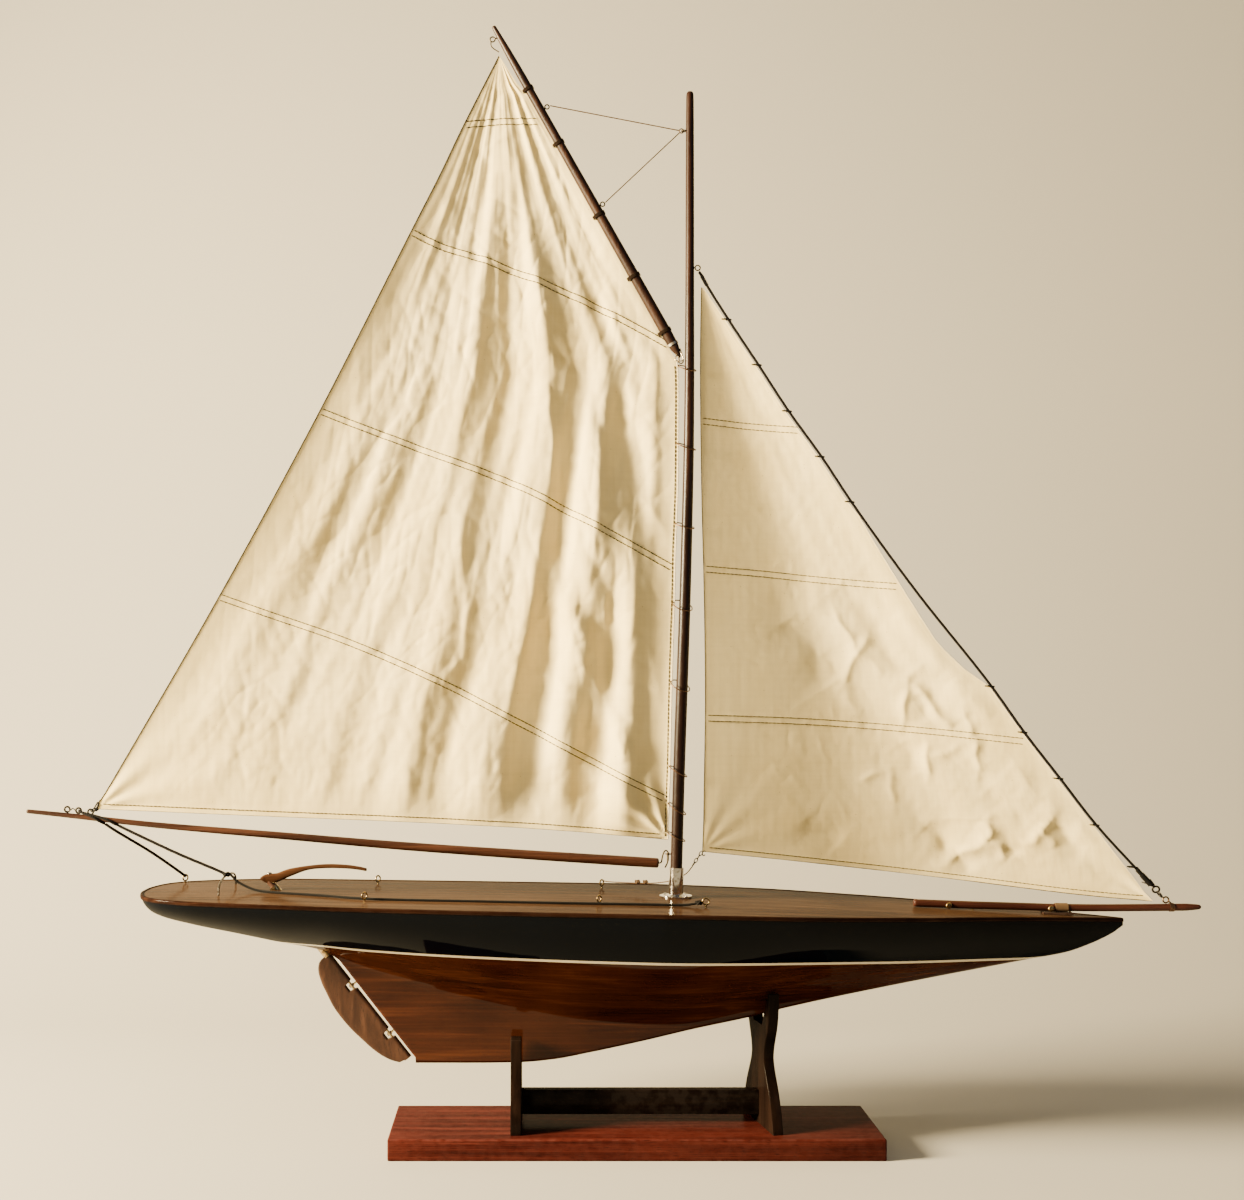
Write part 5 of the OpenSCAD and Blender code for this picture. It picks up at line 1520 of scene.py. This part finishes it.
sheet_legs()
boom_turns()
boom_eyes()
clew_lashing()
deck_run()
knot("horse_knot", (-379.6, -8.8, 252.4), 2.4, "black_cord", wire=0.9)
knot("deck_run_knot", over_deck(55.4, -57, 3.8, (55, -57)), 2.2, "black_cord", wire=0.95)


# ---------------------------------------------------------------- jib sheet and small rigging
def jib_sheet():
    path = catmull([(55.6, 3, 258.4), (52, 11, 252), (47, 13, 248), (40, 14, 244.4),
                    (26, 19, 241.2), (13, 26, 239.8), (-8, 42, 238.4), (-22, 54, 237.8),
                    (-26, 57.6, 238.6)], 8)
    sheet = mesh_object("jib_sheet_cord", rope_geo(path, 0.6, 2, 3.6, 0.7, 6), "brown_cord",
                        None)
    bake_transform(sheet)
    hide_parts("jib_sheet")
    knot("jib_sheet_knot_aft", (6.2, 31.5, 240.6), 2.0, "brown_cord", wire=0.6)
    knot("jib_sheet_knot_fore", (13.4, 26.4, 241.2), 1.8, "brown_cord", wire=0.55)


# chain links below the jib's clew: x, y, z, turn in radians
CHAIN = [(63.4, 0.2, 271.0, 0.2), (61.2, 0.8, 267.6, 1.3), (58.9, 1.5, 264.2, 0.1),
         (56.9, 2.4, 260.8, 1.2)]


def clew_chain():
    down = vec(-0.52, 0.12, -0.84)
    links = []
    for x, y, z, turn in CHAIN:
        side = vec(math.cos(turn) * 0.85, math.sin(turn), -math.cos(turn) * 0.5)
        side = unit(side - down * np.dot(side, down) / np.dot(down, down))
        links.append(link_geo(vec(x, y, z), unit(down), side, 2.5, 1.35, 0.42, points=25))
    mesh_object("jib_clew_chain", join_geo(links), "black_metal", "jib")


def throat_bail():
    """triangular wire from the gaff's throat to the top hoop"""
    path = catmull([(42.6, -0.4, 743.6), (40.8, -1.6, 738.5), (39.4, -2.2, 732.8),
                    (42.8, -2.5, 731.6), (46.6, -2.2, 732.6), (45.4, -1.6, 738.2),
                    (43.8, -0.4, 743.8)], 5)
    mesh_object("throat_bail", sweep_geo(path, 0.55, 8), "aged_brass", "gaff")


def gaff_lashings():
    """four turns of thread each, lacing the head of the sail to the gaff"""
    steps, turns, width = 96, 4, 3.2
    for i, height in enumerate((986.9, 936.2, 869.0, 811.5, 760.0)):
        distance = (height - gaff_foot[2]) / gaff_up[2]
        centre = gaff_foot + gaff_up * distance
        radius = gaff_radius(distance) + 0.5 + 0.06 * (i % 2)
        points = []
        for k in range(steps + 1):
            a = k / steps * 2 * math.pi * turns
            # wider on the sail's side
            reach = 1.0 if math.cos(a) > 0 else 1.35
            around = math.cos(a) * gaff_side * reach + math.sin(a) * vec(0, 1, 0)
            points.append(centre + gaff_up * (-width / 2 + width * k / steps)
                          + radius * around)
        mesh_object("gaff_lashing_%d" % (i + 1), sweep_geo(np.array(points), 0.42, 6),
                    "brown_thread", "gaff",
                    replaces=("gaff_bands",) if i == 0 else ())


jib_sheet()
clew_chain()
throat_bail()
gaff_lashings()

# ---------------------------------------------------------------- CAD pieces that stay
CAD_MATERIALS = {
    "steel_wire": "stand_screws tiller_screw",
    "pale_wood": "deck_beams mast_block",
    "ballast_lead": "ballast_bar",
    "aged_brass": "ballast_bolts rudder_tube rudder_gudgeons rudder_pintles",
    "chrome_fitting": "mast_socket socket_screws",
    "dark_bronze": "mast_eyes boom_hook gaff_eyes peak_link",
    "brown_wire": "mast_hoops bowsprit_ring gaff_bridle",
    "pale_strap": "bowsprit_strap",
    "covering_board_wood": "bowsprit_chock",
    "eye_brass": "bowsprit_screws deck_eyes",
    "dark_steel": "sheet_horse",
    "blade_wood": "rudder_stock",
    "black_metal": "sheet_hook jib_clew_hook",
    "black_cord": "clew_outhaul jib_tack_line",
    "pale_ferrule_metal": "gaff_ferrule",
}
for material, pieces in CAD_MATERIALS.items():
    for piece in pieces.split():
        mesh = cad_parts[piece].data
        mesh.materials.clear()
        mesh.materials.append(materials[material])
        smooth_faces(mesh)


# ---------------------------------------------------------------- floor, light, camera
def floor_sweep():
    """a floor that curves up into a wall behind the boat, on its port side"""
    s = Shader("floor")
    s.surface({"Base Color": (0.46, 0.445, 0.41, 1), "Roughness": 0.8,
               "Specular IOR Level": 0.2})
    # seen only from its lit side, so views from behind are not blocked
    both = s.node("MixShader", {0: s.node("NewGeometry").outputs["Backfacing"],
                                1: s.principled.outputs[0],
                                2: s.node("BsdfTransparent").outputs[0]})
    s.put(s.output.inputs[0], both.outputs[0])
    near_y, bend_y, bend_r, half_length, top = -4.0, 0.5, 1.0, 6, 5.0
    profile = [(near_y, 0.0), (bend_y, 0.0)]
    profile += [(bend_y + bend_r * math.sin(t), bend_r - bend_r * math.cos(t))
                for t in np.linspace(0.05, math.pi / 2, 30)]
    profile.append((bend_y + bend_r, top))
    verts = [(x, y, z) for y, z in profile for x in (-half_length, half_length)]
    faces = [(2 * i, 2 * i + 1, 2 * i + 3, 2 * i + 2) for i in range(len(profile) - 1)]
    mesh = bpy.data.meshes.new("floor_sweep")
    mesh.from_pydata(verts, [], faces)
    ob = bpy.data.objects.new("floor_sweep", mesh)
    collection.objects.link(ob)
    mesh.materials.append(materials["floor"])
    smooth_faces(mesh)


def area_light(name, place, target, size, power, colour, spread=180):
    light = bpy.data.lights.new(name, "AREA")
    light.shape = "RECTANGLE"
    light.size, light.size_y = size
    light.energy = power
    light.color = colour
    light.spread = math.radians(spread)
    ob = bpy.data.objects.new(name, light)
    collection.objects.link(ob)
    ob.location = place
    ob.rotation_euler = (Vector(target) - Vector(place)).to_track_quat("-Z", "Y").to_euler()


def studio_world():
    world = bpy.data.worlds.new("studio")
    bpy.context.scene.world = world
    world.use_nodes = True
    nodes, links = world.node_tree.nodes, world.node_tree.links
    glow = nodes["Background"]
    glow.inputs[0].default_value = (0.80, 0.82, 0.86, 1)
    glow.inputs[1].default_value = 0.06
    # seen directly the surroundings are a plain pale grey
    seen = nodes.new("ShaderNodeBackground")
    seen.inputs[0].default_value = (0.62, 0.60, 0.56, 1)
    seen.inputs[1].default_value = 0.8
    rays = nodes.new("ShaderNodeLightPath")
    choose = nodes.new("ShaderNodeMixShader")
    output = [n for n in nodes if n.type == "OUTPUT_WORLD"][0]
    links.new(rays.outputs["Is Camera Ray"], choose.inputs[0])
    links.new(glow.outputs[0], choose.inputs[1])
    links.new(seen.outputs[0], choose.inputs[2])
    links.new(choose.outputs[0], output.inputs[0])


def camera():
    """level, looking at the starboard side"""
    data = bpy.data.cameras.new("cam")
    ob = bpy.data.objects.new("cam", data)
    collection.objects.link(ob)
    ob.location = (-0.091, -1.461, 0.4325)
    ob.rotation_euler = (math.pi / 2, 0, 0)
    data.sensor_width = 36
    data.lens = 45.144694534
    data.shift_x = 0.069131832797
    data.shift_y = 0.065112540193
    bpy.context.scene.camera = ob


floor_sweep()
area_light("key", (-2.50, -0.64, 1.05), target=(-0.05, 0, 0.72), size=(0.7, 0.7), power=430,
           colour=(1.0, 0.79, 0.455), spread=132)
area_light("fill", (2.0, -1.9, 1.3), target=(0.1, 0, 0.4), size=(1.5, 1.5), power=5,
           colour=(0.70, 0.83, 1.0))
area_light("back", (1.3, 2.3, 1.5), target=(0, 0, 0.5), size=(1.3, 1.3), power=12,
           colour=(0.86, 0.92, 1.0))
area_light("top", (0.0, -0.5, 2.4), target=(0, 0, 0.3), size=(1.8, 1.0), power=6,
           colour=(1.0, 0.97, 0.92))
studio_world()
camera()
